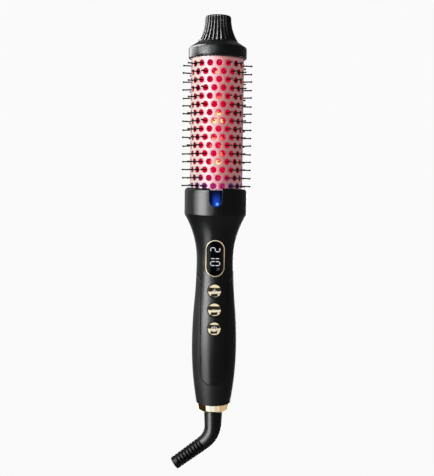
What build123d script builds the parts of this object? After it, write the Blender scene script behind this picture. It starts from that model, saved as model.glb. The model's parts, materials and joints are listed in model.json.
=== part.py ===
from build123d import *
from math import cos, radians, sin, sqrt
import os

# Heated round brush for hair: a perforated barrel full of bristles, lit red from inside, on a waisted
# handle with a digital display, three press buttons and a cord exit that swivels.
#
# Frame, in millimetres: +Z runs up the handle's axis to the cool tip, -Y is the front with the display,
# and the origin is on the axis at the middle of the grip. Angles round the axis start at the front and
# grow towards +X.

# --- Driving dimensions ---------------------------------------------------------------------------------

# Handle, from its foot to the shoulder under the collar
GRIP_R = 16.3
GRIP_ARC_R = 248.0
GRIP_FOOT_Z = -43.2
NECK_R = 13.45
NECK_Z = 62.6
NECK_ARC_R = 64.6
SHOULDER_R = 22.7
SHOULDER_Z = 96.2
WAIST_ARC_R = (NECK_Z**2 / 4 + (GRIP_R - NECK_R) ** 2 / 4) / (GRIP_R - NECK_R)
HANDLE_WALL = 2.0
FRONT_PLANE_Y = -10.4

# Front panel, a tongue with a round lower end that flares into the neck
TONGUE_HALF_WIDTH = 9.6
TONGUE_FOOT_Z = -27.4
TONGUE_FLARE_Z = 48.0
TONGUE_FLARE = 4.0
GRIP_TOP_Z = 55.0
SEAM_GAP = 0.05
SEAM_WIDTH = 0.45
SEAM_DEPTH = 0.5

# Perforated barrel
BARREL_R = 19.0
BARREL_WALL = 0.8
BARREL_FOOT_Z = 101.0
BARREL_TOP_Z = 213.0
HOLE_HEIGHT = 4.3
HOLE_WIDTH = 3.1
HOLES_PER_ROW = 18
ROWS = 16
ROW_PITCH = 5.72
TOP_ROW_Z = 202.3
TOP_ROW_DEG = 4.1
PIN_WIDTH = 0.9
PIN_TIP_R = 25.2
OPEN_HOLES = (0.23, 0.47)

# Inside the barrel
SLEEVE_R = 17.6
SLEEVE_WALL = 0.8
SLEEVE_FOOT_Z = 106.0
CORE_TOP_Z = 206.0
CORE_FOOT_Z = 102.0
CORE_APOTHEM = 11.5
PTC_WIDTH = 16.0
PTC_THICK = 3.2
LED_BOARD_WIDTH = 8.0
LED_BOARD_THICK = 1.0
LEDS_PER_BOARD = 6
LED_CHIP = (2.8, 3.5, 1.0)
FUSE_Z = (120.0, 132.0)
THERMISTOR_Z = (150.0, 155.0)
LEAD_R = 0.7
LEAD_FOOT_Z = 84.0
LEAD_HALF_SPACING = 2.2

# Cool tip
FLANGE_R = 20.8
FLANGE_FOOT_Z = 207.2
FLANGE_EDGE_Z = 214.7
FLANGE_EDGE_ROUND = 1.6
FLARE_FOOT = (14.9, 218.4)
FLARE_MIDDLE = (10.9, 226.6)
FLARE_TOP = (9.35, 236.1)
TIP_TOP_Z = 237.9
FLUTES = 27
FLUTE_DEPTH = 0.85
TIP_SCREW_SPACING = 20.0

# Collar round the foot of the barrel, with the ion port
COLLAR_TOP_Z = 115.0
COLLAR_LIP_R = 19.35
COLLAR_BORE_R = 20.4
COLLAR_LIP_Z = 111.0
PORT_WIDTH = 9.4
PORT_FOOT_Z = 102.0
LENS_FACE_R = 21.7
LENS_TOP_Z = 113.6
BLUE_LED_Z = (103.2, 105.2)
BLUE_LED_HALF_WIDTH = 1.5
EMITTER_R = 0.45
EMITTER_Z = (106.5, 114.4)
SEAT_FOOT_Z = 98.5
SEAT_WIRE_R = 4.6
SEAT_CUP_R = 15.2

# Display and buttons
DISPLAY_FOOT_Z = 51.3
DISPLAY_TOP_Z = 78.3
DISPLAY_WIDTH = 14.2
BEZEL_WIDTH = 1.1
BEZEL_PROUD = 0.15
BEZEL_DEPTH = 1.3
BUTTON_Z = {"plus": 41.4, "minus": 27.9, "power": 14.3}
BUTTON_R = 4.6
BUTTON_GAP = 0.15
BUTTON_TRAVEL = 0.8
BUTTON_LIP = 0.7
STEM_R = 1.7
BUTTON_DOME = 0.55

# Boards in the handle
BOARD_FRONT_Y = -6.0
BOARD_THICK = 1.2
CONTROL_BOARD_WIDTH = 15.0
POWER_BOARD_Y = 3.0
POWER_BOARD_WIDTH = 14.0
BOARD_SCREW_Z = (-14.0, 2.0)
CONTROL_BOARD_Z = (-20.0, 80.0)
POWER_BOARD_Z = (-18.0, 92.0)
ION_GENERATOR_Z = (68.0, 88.0)
ION_GENERATOR_DEPTH = 5.6
TRIAC_Z = (2.0, 17.0)
TRIAC_DEPTH = 4.4
PART_HALF_WIDTH = 5.0
SPACER_SIZE = 2.4
SPACER_X = (-6.4, 4.0)
SPACER_Z = (-17.0, 75.0)
SWITCH_HEIGHT = 2.6
SWITCH_HALF_WIDTH = 3.0

# Foot of the handle and the swivel
RING_TOP_R = 12.35
RING_FOOT_R = 11.6
RING_EDGE_ROUND = 1.6
RING_FOOT_Z = -48.7
RING_BORE_R = 8.6
SPIGOT_R = 6.5
SWIVEL_CLEARANCE = 0.08
SOCKET_FLANGE_Z = -38.0
SOCKET_TOP_Z = -36.0
SPIGOT_STEP_Z = -34.0
SPIGOT_TOP_Z = -23.0
CORD_BORE_R = 3.1

# Strain relief: straight, one bend to the left, then a ribbed straight end
RELIEF_ROOT_R = 6.8
RELIEF_ROOT_Z = -48.2
BEND_START_Z = -60.6
BEND_R = 17.4
BEND_DEG = 53.2
RELIEF_BEND_R = 6.25
RELIEF_RIB_R = 5.35
RELIEF_END_R = 4.8
RELIEF_RIB_LENGTH = 26.4
SLOTS_PER_ROW = 9
SLOT_ROWS = 4
SLOT_ROW_TURN = 11.0
SLOT_PITCH = 2.62
SLOT_WIDTH = 1.2
SLOT_FLOOR = 4.0
SLOT_HALF_LENGTH = 2.8

# --- Shared shapes --------------------------------------------------------------------------------------


def turned(edges):
    """The solid that a closed outline of (radius, height) edges makes round the axis."""
    return revolve(Plane.XZ * make_face(edges), Axis.Z)


def ring(inner, outer, low, high):
    """A plain round ring between two heights, or a disc if inner is 0."""
    body = Pos(0, 0, low) * Cylinder(outer, high - low, align=(Align.CENTER, Align.CENTER, Align.MIN))
    if inner:
        body -= Pos(0, 0, low) * Cylinder(inner, high - low, align=(Align.CENTER, Align.CENTER, Align.MIN))
    return body


def block(low, high):
    """A box between two corners."""
    size = [b - a for a, b in zip(low, high)]
    return Pos(*low) * Box(*size, align=(Align.MIN, Align.MIN, Align.MIN))


def rod(radius, start, end):
    """A round rod from one point to another."""
    axis = Vector(*end) - Vector(*start)
    return extrude(Plane(origin=start, z_dir=axis) * Circle(radius), axis.length)


def round_the_axis(angle, radius, z):
    """The place at an angle round the axis whose local z points outward and local y points up."""
    turn = radians(angle)
    outward = (sin(turn), -cos(turn), 0)
    across = (cos(turn), sin(turn), 0)
    origin = (radius * outward[0], radius * outward[1], z)
    return Plane(origin=origin, x_dir=across, z_dir=outward).location


def front_prism(sketch, depth_from, depth_to):
    """A sketch drawn in front view (x, z), extruded along Y between two depths."""
    face = Plane(origin=(0, depth_to, 0), x_dir=(1, 0, 0), z_dir=(0, -1, 0)) * sketch
    return extrude(face, depth_to - depth_from)


def bulge(start, corner, end):
    """The middle of a round edge between two points, most of the way out to the sharp corner."""
    return tuple(0.3 * (a + b) + 0.4 * c for a, b, c in zip(start, end, corner))


def grip_radius(z):
    """The handle's outer radius below the middle of the grip."""
    return GRIP_R - GRIP_ARC_R + sqrt(GRIP_ARC_R**2 - z**2)


def front_radius(z):
    """The handle's outer radius between the middle of the grip and the neck."""
    if z < NECK_Z / 2:
        return GRIP_R - WAIST_ARC_R + sqrt(WAIST_ARC_R**2 - z**2)
    return NECK_R + WAIST_ARC_R - sqrt(WAIST_ARC_R**2 - (NECK_Z - z) ** 2)


def handle_body(inset):
    """The whole handle as one turned solid, drawn in by inset all round."""
    foot = (grip_radius(GRIP_FOOT_Z) - inset, GRIP_FOOT_Z)
    middle = (grip_radius(GRIP_FOOT_Z / 2) - inset, GRIP_FOOT_Z / 2)
    belly = (GRIP_R - inset, 0)
    neck = (NECK_R - inset, NECK_Z)
    rise = sqrt(NECK_ARC_R**2 - (NECK_ARC_R - SHOULDER_R + NECK_R) ** 2)
    half_out = NECK_ARC_R - sqrt(NECK_ARC_R**2 - (rise / 2) ** 2)
    flare_middle = (NECK_R + half_out - inset, NECK_Z + rise / 2)
    shoulder = (SHOULDER_R - inset, NECK_Z + rise)
    top = (SHOULDER_R - inset, SHOULDER_Z)
    quarter = (front_radius(NECK_Z / 4) - inset, NECK_Z / 4)
    waist = (front_radius(NECK_Z / 2) - inset, NECK_Z / 2)
    upper = (front_radius(NECK_Z * 0.75) - inset, NECK_Z * 0.75)
    return turned(
        [
            Line((0, GRIP_FOOT_Z), foot),
            ThreePointArc(foot, middle, belly),
            ThreePointArc(belly, quarter, waist),
            ThreePointArc(waist, upper, neck),
            ThreePointArc(neck, flare_middle, shoulder),
            Line(shoulder, top),
            Line(top, (0, SHOULDER_Z)),
            Line((0, SHOULDER_Z), (0, GRIP_FOOT_Z)),
        ]
    )


def tongue_mask(grow):
    """Everything in front of the axis that lies inside the front panel's outline, grown by a margin."""
    half = TONGUE_HALF_WIDTH + grow
    centre_z = TONGUE_FOOT_Z + TONGUE_HALF_WIDTH
    flared = half + TONGUE_FLARE
    left, left_flare, left_top = (-half, centre_z), (-half, TONGUE_FLARE_Z), (-flared, GRIP_TOP_Z)
    right, right_flare, right_top = (half, centre_z), (half, TONGUE_FLARE_Z), (flared, GRIP_TOP_Z)
    outline = make_face(
        [
            ThreePointArc(left, (0, centre_z - half), right),
            Line(right, right_flare),
            Line(right_flare, right_top),
            Line(right_top, left_top),
            Line(left_top, left_flare),
            Line(left_flare, left),
        ]
    )
    return front_prism(outline, -30, 0)


def handle_shell():
    """The hollow handle before it is split, with a flat inner face behind the front panel."""
    cavity = handle_body(HANDLE_WALL) & block((-30, FRONT_PLANE_Y, -60), (30, 30, SHOULDER_Z))
    return handle_body(0) - cavity


def stadium(width, height, centre_z):
    """An upright slot outline in front view."""
    return Pos(0, centre_z) * SlotOverall(height, width, rotation=90)


def display_shape(margin, outer_inset, inner_inset):
    """A slice of the handle's skin inside the display's outline, drawn in by a margin."""
    height = DISPLAY_TOP_Z - DISPLAY_FOOT_Z
    centre_z = (DISPLAY_TOP_Z + DISPLAY_FOOT_Z) / 2
    outline = stadium(DISPLAY_WIDTH - 2 * margin, height - 2 * margin, centre_z)
    skin = handle_body(outer_inset) - handle_body(inner_inset)
    return front_prism(outline, -30, 0) & skin


def port_prism(width, low, high):
    """The ion port's outline, a U open at the top, as a prism through the front of the collar."""
    centre_z = low + width / 2
    outline = Pos(0, centre_z) * Circle(width / 2) + Pos(0, (centre_z + high) / 2) * Rectangle(
        width, high - centre_z
    )
    return front_prism(outline, -30, -10)


def hole_places(radius, with_pin=False):
    """The barrel's holes, row by row from the top, as places at a radius: all, or those with a pin.
    The columns beside each side's middle column have no pin."""
    turn = 360 / HOLES_PER_ROW
    places = []
    for row in range(ROWS):
        first = TOP_ROW_DEG - turn / 2 * (row % 2)
        for step in range(HOLES_PER_ROW):
            angle = first + step * turn
            if with_pin and OPEN_HOLES[0] < abs(cos(radians(angle))) < OPEN_HOLES[1]:
                continue
            places.append(round_the_axis(angle, radius, TOP_ROW_Z - row * ROW_PITCH))
    return places


def tip_screw_places(z):
    """The two screws of the cool tip, either side of the axis."""
    return [(-TIP_SCREW_SPACING / 2, 0, z), (TIP_SCREW_SPACING / 2, 0, z)]


# --- Barrel ---------------------------------------------------------------------------------------------


def barrel_tube():
    """The metal tube with its staggered rows of holes. It has a narrow flat for each column of holes
    and the holes are six-sided, because straight edges keep a mesh of so many holes light."""
    columns = 2 * HOLES_PER_ROW
    outer, inner = (
        RegularPolygon(radius, columns, rotation=TOP_ROW_DEG - 90 + 180 / columns)
        for radius in (BARREL_R, BARREL_R - BARREL_WALL)
    )
    tube = Pos(0, 0, BARREL_FOOT_Z) * extrude(outer - inner, BARREL_TOP_Z - BARREL_FOOT_Z)
    top, side, corner = HOLE_HEIGHT / 2, HOLE_WIDTH / 2, HOLE_HEIGHT * 0.28
    outline = Polyline(
        (0, top), (side, corner), (side, -corner), (0, -top), (-side, -corner), (-side, corner), close=True
    )
    punch = extrude(make_face(outline), 3)
    return tube - [place * punch for place in hole_places(BARREL_R - 2)]


def bristle_pins():
    """Nylon pins in the middle of the holes, standing on the sleeve inside the barrel."""
    pin = Box(
        PIN_WIDTH, PIN_WIDTH, PIN_TIP_R - SLEEVE_R, align=(Align.CENTER, Align.CENTER, Align.MIN)
    )
    return [place * pin for place in hole_places(SLEEVE_R, with_pin=True)]


def carrier_sleeve():
    """The red translucent sleeve that spreads the light and carries the pins."""
    return ring(SLEEVE_R - SLEEVE_WALL, SLEEVE_R, SLEEVE_FOOT_Z, CORE_TOP_Z)


def heat_core_half(side):
    """Half of the aluminium core, six-sided outside, with a flat face against the heating plate."""
    hexagon = RegularPolygon(CORE_APOTHEM, 6, major_radius=False)
    core = Pos(0, 0, CORE_FOOT_Z) * extrude(hexagon, CORE_TOP_Z - CORE_FOOT_Z)
    near, far = sorted((side * PTC_THICK / 2, side * 20))
    return core & block((-20, near, CORE_FOOT_Z), (20, far, CORE_TOP_Z))


def ptc_heater():
    """The flat heating plate clamped between the core's halves."""
    half = PTC_WIDTH / 2
    thick = PTC_THICK / 2
    return block((-half, -thick, CORE_FOOT_Z + 4), (half, thick, CORE_TOP_Z - 6))


def thermal_fuse():
    """The one-shot fuse, lying in the core's slot on the right of the heating plate."""
    x = PTC_WIDTH / 2 + PTC_THICK / 2
    return rod(PTC_THICK / 2, (x, 0, FUSE_Z[0]), (x, 0, FUSE_Z[1]))


def thermistor():
    """The temperature sensor bead, in the slot on the left."""
    x = -PTC_WIDTH / 2 - PTC_THICK / 2
    return rod(PTC_THICK / 2, (x, 0, THERMISTOR_Z[0]), (x, 0, THERMISTOR_Z[1]))


def led_boards():
    """Six narrow boards, one on each flat of the core."""
    board = Box(
        LED_BOARD_WIDTH,
        CORE_TOP_Z - CORE_FOOT_Z - 8,
        LED_BOARD_THICK,
        align=(Align.CENTER, Align.CENTER, Align.MIN),
    )
    middle_z = (CORE_TOP_Z + CORE_FOOT_Z) / 2
    return [round_the_axis(60 * k, CORE_APOTHEM, middle_z) * board for k in range(6)]


def red_leds():
    """The red light chips along each of those boards."""
    chip = Box(*LED_CHIP, align=(Align.CENTER, Align.CENTER, Align.MIN))
    spacing = (CORE_TOP_Z - CORE_FOOT_Z - 8) / LEDS_PER_BOARD
    face_r = CORE_APOTHEM + LED_BOARD_THICK
    return [
        round_the_axis(60 * k, face_r, CORE_FOOT_Z + 4 + (step + 0.5) * spacing) * chip
        for k in range(6)
        for step in range(LEDS_PER_BOARD)
    ]


def insulator_disc():
    """The mica washer that the hot core stands on, open in the middle for the leads."""
    return ring(5.0, 14.5, BARREL_FOOT_Z, CORE_FOOT_Z)


def heater_leads():
    """Two insulated leads from the power board up to the heating plate."""
    y = POWER_BOARD_Y - LEAD_R
    return [
        rod(LEAD_R, (x, y, LEAD_FOOT_Z), (x, y, CORE_FOOT_Z)) for x in (-LEAD_HALF_SPACING, LEAD_HALF_SPACING)
    ]


def barrel_seat():
    """The insulating seat in the collar: a cup for the tube's foot with a spigot inside the tube."""
    cup = ring(0, COLLAR_BORE_R - 0.05, SEAT_FOOT_Z, COLLAR_LIP_Z - 0.05)
    cup -= ring(BARREL_R - BARREL_WALL - 0.1, BARREL_R + 0.05, BARREL_FOOT_Z, COLLAR_LIP_Z)
    cup -= ring(0, BARREL_R, SLEEVE_FOOT_Z, COLLAR_LIP_Z)
    cup -= ring(0, SEAT_CUP_R, BARREL_FOOT_Z, SLEEVE_FOOT_Z)
    cup -= ring(0, SEAT_WIRE_R, SHOULDER_Z, BARREL_FOOT_Z)
    return cup - block((-3, -30, BARREL_FOOT_Z + 1), (3, -BARREL_R, COLLAR_LIP_Z))


# --- Cool tip -------------------------------------------------------------------------------------------


def cool_tip():
    """The insulated nose: a flange over the barrel's end and a flared grip with lengthwise flutes."""
    foot_r, foot_z = FLARE_FOOT
    edge, rounded = (FLANGE_R, FLANGE_EDGE_Z), FLANGE_EDGE_ROUND
    slope = (foot_z - FLANGE_EDGE_Z) / (FLANGE_R - foot_r)
    length = sqrt(1 + slope**2)
    on_slope = (edge[0] - rounded / length, edge[1] + rounded * slope / length)
    on_wall = (edge[0], edge[1] - rounded)
    flange = turned(
        [
            Line((0, FLANGE_FOOT_Z), (FLANGE_R, FLANGE_FOOT_Z)),
            Line((FLANGE_R, FLANGE_FOOT_Z), on_wall),
            ThreePointArc(on_wall, bulge(on_wall, edge, on_slope), on_slope),
            Line(on_slope, (foot_r - 1.2, foot_z + 1.2 * slope)),
            Line((foot_r - 1.2, foot_z + 1.2 * slope), (0, foot_z + 1.2 * slope)),
            Line((0, foot_z + 1.2 * slope), (0, FLANGE_FOOT_Z)),
        ]
    )
    nose = fluted_nose() + flange
    nose -= ring(0, BARREL_R + 0.05, FLANGE_FOOT_Z, BARREL_TOP_Z)
    nose -= ring(0, 12.8, BARREL_TOP_Z, BARREL_TOP_Z + 3.5)
    nose -= ring(0, 6.2, BARREL_TOP_Z, TIP_TOP_Z - 5)
    for place in tip_screw_places(CORE_TOP_Z + 5.5):
        nose += Pos(*place) * Cylinder(2.4, 5.2, align=(Align.CENTER, Align.CENTER, Align.MIN))
        nose -= Pos(*place) * Cylinder(1.0, 4.5, align=(Align.CENTER, Align.CENTER, Align.MIN))
    return nose


def fluted_nose():
    """The flared grip: the same toothed outline at several heights, scaled to the flare's radius."""
    flare = ThreePointArc(FLARE_FOOT, FLARE_MIDDLE, FLARE_TOP)
    stations = [(FLARE_FOOT[0] + 0.9, FLARE_FOOT[1] - 1.4)]
    stations += [(point.X, point.Y) for point in (flare @ share for share in (0, 0.25, 0.5, 0.75, 1))]
    stations += [(FLARE_TOP[0] - 0.1, TIP_TOP_Z + 0.5)]
    sections = []
    for radius, z in stations:
        depth = FLUTE_DEPTH * radius / FLARE_TOP[0]
        teeth = []
        for step in range(2 * FLUTES):
            reach = radius - depth * (step % 2)
            turn = radians(step * 180 / FLUTES)
            teeth.append((reach * sin(turn), -reach * cos(turn)))
        sections.append(Pos(0, 0, z) * make_face(Polyline(*teeth, close=True)))
    dome_drop = TIP_TOP_Z - FLARE_TOP[1]
    dome_r = (FLARE_TOP[0] ** 2 + dome_drop**2) / (2 * dome_drop)
    dome = Pos(0, 0, TIP_TOP_Z - dome_r) * Sphere(dome_r)
    dome_side = block((-30, -30, FLARE_FOOT[1] - 5), (30, 30, TIP_TOP_Z - dome_r / 2))
    return loft(sections, ruled=True) & (dome + dome_side)


def tip_plug():
    """The insulating end plate inside the barrel, pierced for the cool tip's screws."""
    plate = ring(0, BARREL_R - BARREL_WALL - 0.1, CORE_TOP_Z, CORE_TOP_Z + 5.5)
    for place in tip_screw_places(CORE_TOP_Z):
        plate -= Pos(*place) * Cylinder(1.2, 5.5, align=(Align.CENTER, Align.CENTER, Align.MIN))
        plate -= Pos(*place) * Cylinder(2.3, 1.7, align=(Align.CENTER, Align.CENTER, Align.MIN))
    return plate


def tip_screws():
    """Two screws that go up through the end plate into the cool tip."""
    screw = extrude(RegularPolygon(2.1, 6), 1.6) + extrude(RegularPolygon(0.95, 6), 9.5)
    return [Pos(*place) * screw for place in tip_screw_places(CORE_TOP_Z + 0.1)]


# --- Collar and ion port --------------------------------------------------------------------------------


def ion_collar():
    """The ring that holds the barrel's foot, with a rounded top edge and the U-shaped port in front."""
    top_outer = (COLLAR_LIP_R + 1.2, COLLAR_TOP_Z)
    edge = (SHOULDER_R, COLLAR_TOP_Z)
    wall_top = (SHOULDER_R, COLLAR_TOP_Z - 3.2)
    collar = turned(
        [
            Line((COLLAR_BORE_R, SHOULDER_Z), (SHOULDER_R, SHOULDER_Z)),
            Line((SHOULDER_R, SHOULDER_Z), wall_top),
            ThreePointArc(wall_top, bulge(wall_top, edge, top_outer), top_outer),
            Line(top_outer, (COLLAR_LIP_R, COLLAR_TOP_Z)),
            Line((COLLAR_LIP_R, COLLAR_TOP_Z), (COLLAR_LIP_R, COLLAR_LIP_Z)),
            Line((COLLAR_LIP_R, COLLAR_LIP_Z), (COLLAR_BORE_R, COLLAR_LIP_Z)),
            Line((COLLAR_BORE_R, COLLAR_LIP_Z), (COLLAR_BORE_R, SHOULDER_Z)),
        ]
    )
    return collar - port_prism(PORT_WIDTH, PORT_FOOT_Z, COLLAR_TOP_Z + 1)


def ion_lens():
    """The blue window set back in the port."""
    skin = ring(COLLAR_BORE_R, LENS_FACE_R, PORT_FOOT_Z, LENS_TOP_Z)
    return skin & port_prism(PORT_WIDTH - 0.1, PORT_FOOT_Z + 0.05, LENS_TOP_Z)


def blue_led():
    """The blue light chip behind the lower end of the window."""
    low = (-BLUE_LED_HALF_WIDTH, -COLLAR_BORE_R + 0.1, BLUE_LED_Z[0])
    return block(low, (BLUE_LED_HALF_WIDTH, -BARREL_R - 0.1, BLUE_LED_Z[1]))


def ion_emitter():
    """The emitter needle, whose tip stands free above the window."""
    y = -(BARREL_R + COLLAR_BORE_R) / 2
    return rod(EMITTER_R, (0, y, EMITTER_Z[0]), (0, y, EMITTER_Z[1]))


def ion_generator():
    """The potted high-voltage block on the back of the power board."""
    back = POWER_BOARD_Y + BOARD_THICK
    low = (-PART_HALF_WIDTH, back, ION_GENERATOR_Z[0])
    return block(low, (PART_HALF_WIDTH, back + ION_GENERATOR_DEPTH, ION_GENERATOR_Z[1]))


# --- Handle ---------------------------------------------------------------------------------------------


def front_housing():
    """The neck and the front panel in one moulding, with the display and button openings."""
    shell = handle_shell()
    upper = shell & block((-30, -30, GRIP_TOP_Z), (30, 30, SHOULDER_Z))
    housing = upper + (shell & tongue_mask(0))
    housing += ring(COLLAR_BORE_R - 2.0, COLLAR_BORE_R - 0.05, SHOULDER_Z - 1, SEAT_FOOT_Z)
    housing -= ring(0, COLLAR_BORE_R - 2.0, SHOULDER_Z - 4, SHOULDER_Z)
    housing -= display_shape(-0.03, -1, BEZEL_DEPTH)
    housing -= front_prism(display_opening(0), -30, FRONT_PLANE_Y + 1)
    for z in BUTTON_Z.values():
        housing -= front_prism(Pos(0, z) * Circle(BUTTON_R + BUTTON_GAP), -30, FRONT_PLANE_Y + 1)
    for z in BOARD_SCREW_Z:
        housing += rod(2.2, (0, FRONT_PLANE_Y - 0.5, z), (0, BOARD_FRONT_Y, z))
        housing -= rod(0.9, (0, FRONT_PLANE_Y + 0.4, z), (0, BOARD_FRONT_Y, z))
    return housing


def display_opening(margin):
    """The outline of the hole behind the display window, drawn in by a margin."""
    height = DISPLAY_TOP_Z - DISPLAY_FOOT_Z
    centre_z = (DISPLAY_TOP_Z + DISPLAY_FOOT_Z) / 2
    return stadium(DISPLAY_WIDTH - 3.0 - 2 * margin, height - 3.0 - 2 * margin, centre_z)


def rear_grip():
    """The soft shell round the back and foot, with a fine groove along its seam with the front panel."""
    grip = handle_shell() & block((-30, -30, GRIP_FOOT_Z), (30, 30, GRIP_TOP_Z))
    grip -= tongue_mask(SEAM_GAP)
    groove = tongue_mask(SEAM_GAP + SEAM_WIDTH) & (handle_body(-1) - handle_body(SEAM_DEPTH))
    return grip - groove


def display_bezel():
    """The gold frame round the display, curved with the handle."""
    frame = display_shape(0, -BEZEL_PROUD, BEZEL_DEPTH)
    return frame - display_shape(BEZEL_WIDTH, -1, BEZEL_DEPTH + 1)


def display_window():
    """The black glass inside that frame."""
    return display_shape(BEZEL_WIDTH + 0.03, 0.1, BEZEL_DEPTH)


def display_module():
    """The digit module behind the glass, standing on the control board."""
    return front_prism(display_opening(0.2), FRONT_PLANE_Y - 0.2, BOARD_FRONT_Y)


def control_board():
    """The long board behind the front panel."""
    half = CONTROL_BOARD_WIDTH / 2
    low, high = CONTROL_BOARD_Z
    board = block((-half, BOARD_FRONT_Y, low), (half, BOARD_FRONT_Y + BOARD_THICK, high))
    for z in BOARD_SCREW_Z:
        board -= rod(1.1, (0, BOARD_FRONT_Y, z), (0, BOARD_FRONT_Y + BOARD_THICK, z))
    return board


def board_screws():
    """Two screws that hold the control board to the front panel's posts."""
    back = BOARD_FRONT_Y + BOARD_THICK
    head, shank = RegularPolygon(1.9, 6), RegularPolygon(0.85, 6)
    return [
        front_prism(Pos(0, z) * head, back, back + 1.2) + front_prism(Pos(0, z) * shank, back - 4.4, back)
        for z in BOARD_SCREW_Z
    ]


def tact_switches():
    """Three switch bodies on the control board, each with a well for its moving stem."""
    switches = []
    for z in BUTTON_Z.values():
        half, front = SWITCH_HALF_WIDTH, BOARD_FRONT_Y - SWITCH_HEIGHT
        body = block((-half, front, z - half), (half, BOARD_FRONT_Y, z + half))
        switches.append(body - rod(STEM_R + 0.15, (0, front, z), (0, BOARD_FRONT_Y - 1.1, z)))
    return switches


def button_cap(z):
    """A domed gold button with a lip behind the front panel that keeps it in."""
    reach = front_radius(z)
    rim_y = -(reach - 0.35)
    dome_r = (BUTTON_R**2 + BUTTON_DOME**2) / (2 * BUTTON_DOME)
    lip_y = FRONT_PLANE_Y + 0.05
    cap = rod(BUTTON_R, (0, rim_y - BUTTON_DOME, z), (0, lip_y, z))
    cap &= Pos(0, rim_y - BUTTON_DOME + dome_r, z) * Sphere(dome_r)
    return cap + rod(BUTTON_R + BUTTON_LIP, (0, lip_y, z), (0, lip_y + 0.8, z))


def button_stem(z):
    """The switch's stem, pushed by the button and sliding in the switch body."""
    front = FRONT_PLANE_Y + 0.85
    return rod(STEM_R, (0, front, z), (0, BOARD_FRONT_Y - 1.25 - BUTTON_TRAVEL, z))


def power_board():
    """The mains board behind the control board."""
    half = POWER_BOARD_WIDTH / 2
    low, high = POWER_BOARD_Z
    return block((-half, POWER_BOARD_Y, low), (half, POWER_BOARD_Y + BOARD_THICK, high))


def board_spacers():
    """Four square posts between the two boards."""
    back = BOARD_FRONT_Y + BOARD_THICK
    size = SPACER_SIZE
    return [block((x, back, z), (x + size, POWER_BOARD_Y, z + size)) for x in SPACER_X for z in SPACER_Z]


def triac():
    """The power switch on the back of the power board."""
    back = POWER_BOARD_Y + BOARD_THICK
    low = (-PART_HALF_WIDTH, back, TRIAC_Z[0])
    return block(low, (PART_HALF_WIDTH, back + TRIAC_DEPTH, TRIAC_Z[1]))


# --- Foot of the handle and swivel ----------------------------------------------------------------------


def base_ring():
    """The polished ring at the handle's foot, tapering to a rounded lower edge."""
    lower_wall = (RING_FOOT_R + 0.1, RING_FOOT_Z + RING_EDGE_ROUND)
    lower_face = (RING_FOOT_R - RING_EDGE_ROUND, RING_FOOT_Z)
    return turned(
        [
            Line((RING_BORE_R, GRIP_FOOT_Z + 5.2), (RING_BORE_R, RING_FOOT_Z)),
            Line((RING_BORE_R, RING_FOOT_Z), lower_face),
            ThreePointArc(lower_face, bulge(lower_face, (RING_FOOT_R, RING_FOOT_Z), lower_wall), lower_wall),
            Line(lower_wall, (RING_TOP_R, GRIP_FOOT_Z)),
            Line((RING_TOP_R, GRIP_FOOT_Z), (RING_BORE_R + 1.6, GRIP_FOOT_Z)),
            Line((RING_BORE_R + 1.6, GRIP_FOOT_Z), (RING_BORE_R + 1.6, GRIP_FOOT_Z + 5.2)),
            Line((RING_BORE_R + 1.6, GRIP_FOOT_Z + 5.2), (RING_BORE_R, GRIP_FOOT_Z + 5.2)),
        ]
    )


def swivel_socket():
    """The fixed bearing cup that the cord spigot turns in."""
    cup = ring(0, RING_BORE_R - 0.1, RELIEF_ROOT_Z + 0.1, SOCKET_TOP_Z)
    cup += ring(0, RING_BORE_R + 1.5, SOCKET_FLANGE_Z, SOCKET_TOP_Z)
    cup -= ring(0, SPIGOT_R + SWIVEL_CLEARANCE, RELIEF_ROOT_Z, SOCKET_TOP_Z)
    return cup - ring(0, SPIGOT_R + 1.0, RELIEF_ROOT_Z, RELIEF_ROOT_Z + 1.3)


def swivel_spigot():
    """The turning hub of the cord, with a shoulder, a clip groove and a slim top for the slip rings."""
    hub = ring(0, SPIGOT_R + 0.9, RELIEF_ROOT_Z, RELIEF_ROOT_Z + 1.2)
    hub += ring(0, SPIGOT_R, RELIEF_ROOT_Z, SPIGOT_STEP_Z)
    hub += ring(0, 4.0, SPIGOT_STEP_Z, SPIGOT_TOP_Z)
    hub -= ring(5.6, SPIGOT_R + 1, SOCKET_TOP_Z + 0.2, SOCKET_TOP_Z + 1.1)
    return hub - ring(0, CORD_BORE_R, RELIEF_ROOT_Z, SPIGOT_TOP_Z)


def retaining_clip():
    """The open ring in the spigot's groove that keeps it in the socket."""
    clip = ring(5.65, SPIGOT_R + 1.7, SOCKET_TOP_Z + 0.25, SOCKET_TOP_Z + 1.05)
    return clip - block((-2.5, 0, SOCKET_TOP_Z), (2.5, 20, SOCKET_TOP_Z + 2))


def slip_rings():
    """Two contact rings round the slim top of the spigot."""
    return [ring(4.02, 5.2, low, low + 2.2) for low in (-32.6, -27.8)]


def contact_springs():
    """A leaf spring for each slip ring, standing on the socket beside the clip."""
    springs = []
    for side, ring_z in ((-1, -31.5), (1, -26.7)):
        inner, outer = sorted((side * 8.7, side * 9.1))
        leaf = block((inner, -1.5, SOCKET_TOP_Z), (outer, 1.5, ring_z + 1.2))
        near, far = sorted((side * 5.5, side * 8.7))
        finger = block((near, -1.5, ring_z + 0.4), (far, 1.5, ring_z + 0.8))
        springs.append(leaf + finger)
    return springs


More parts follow.
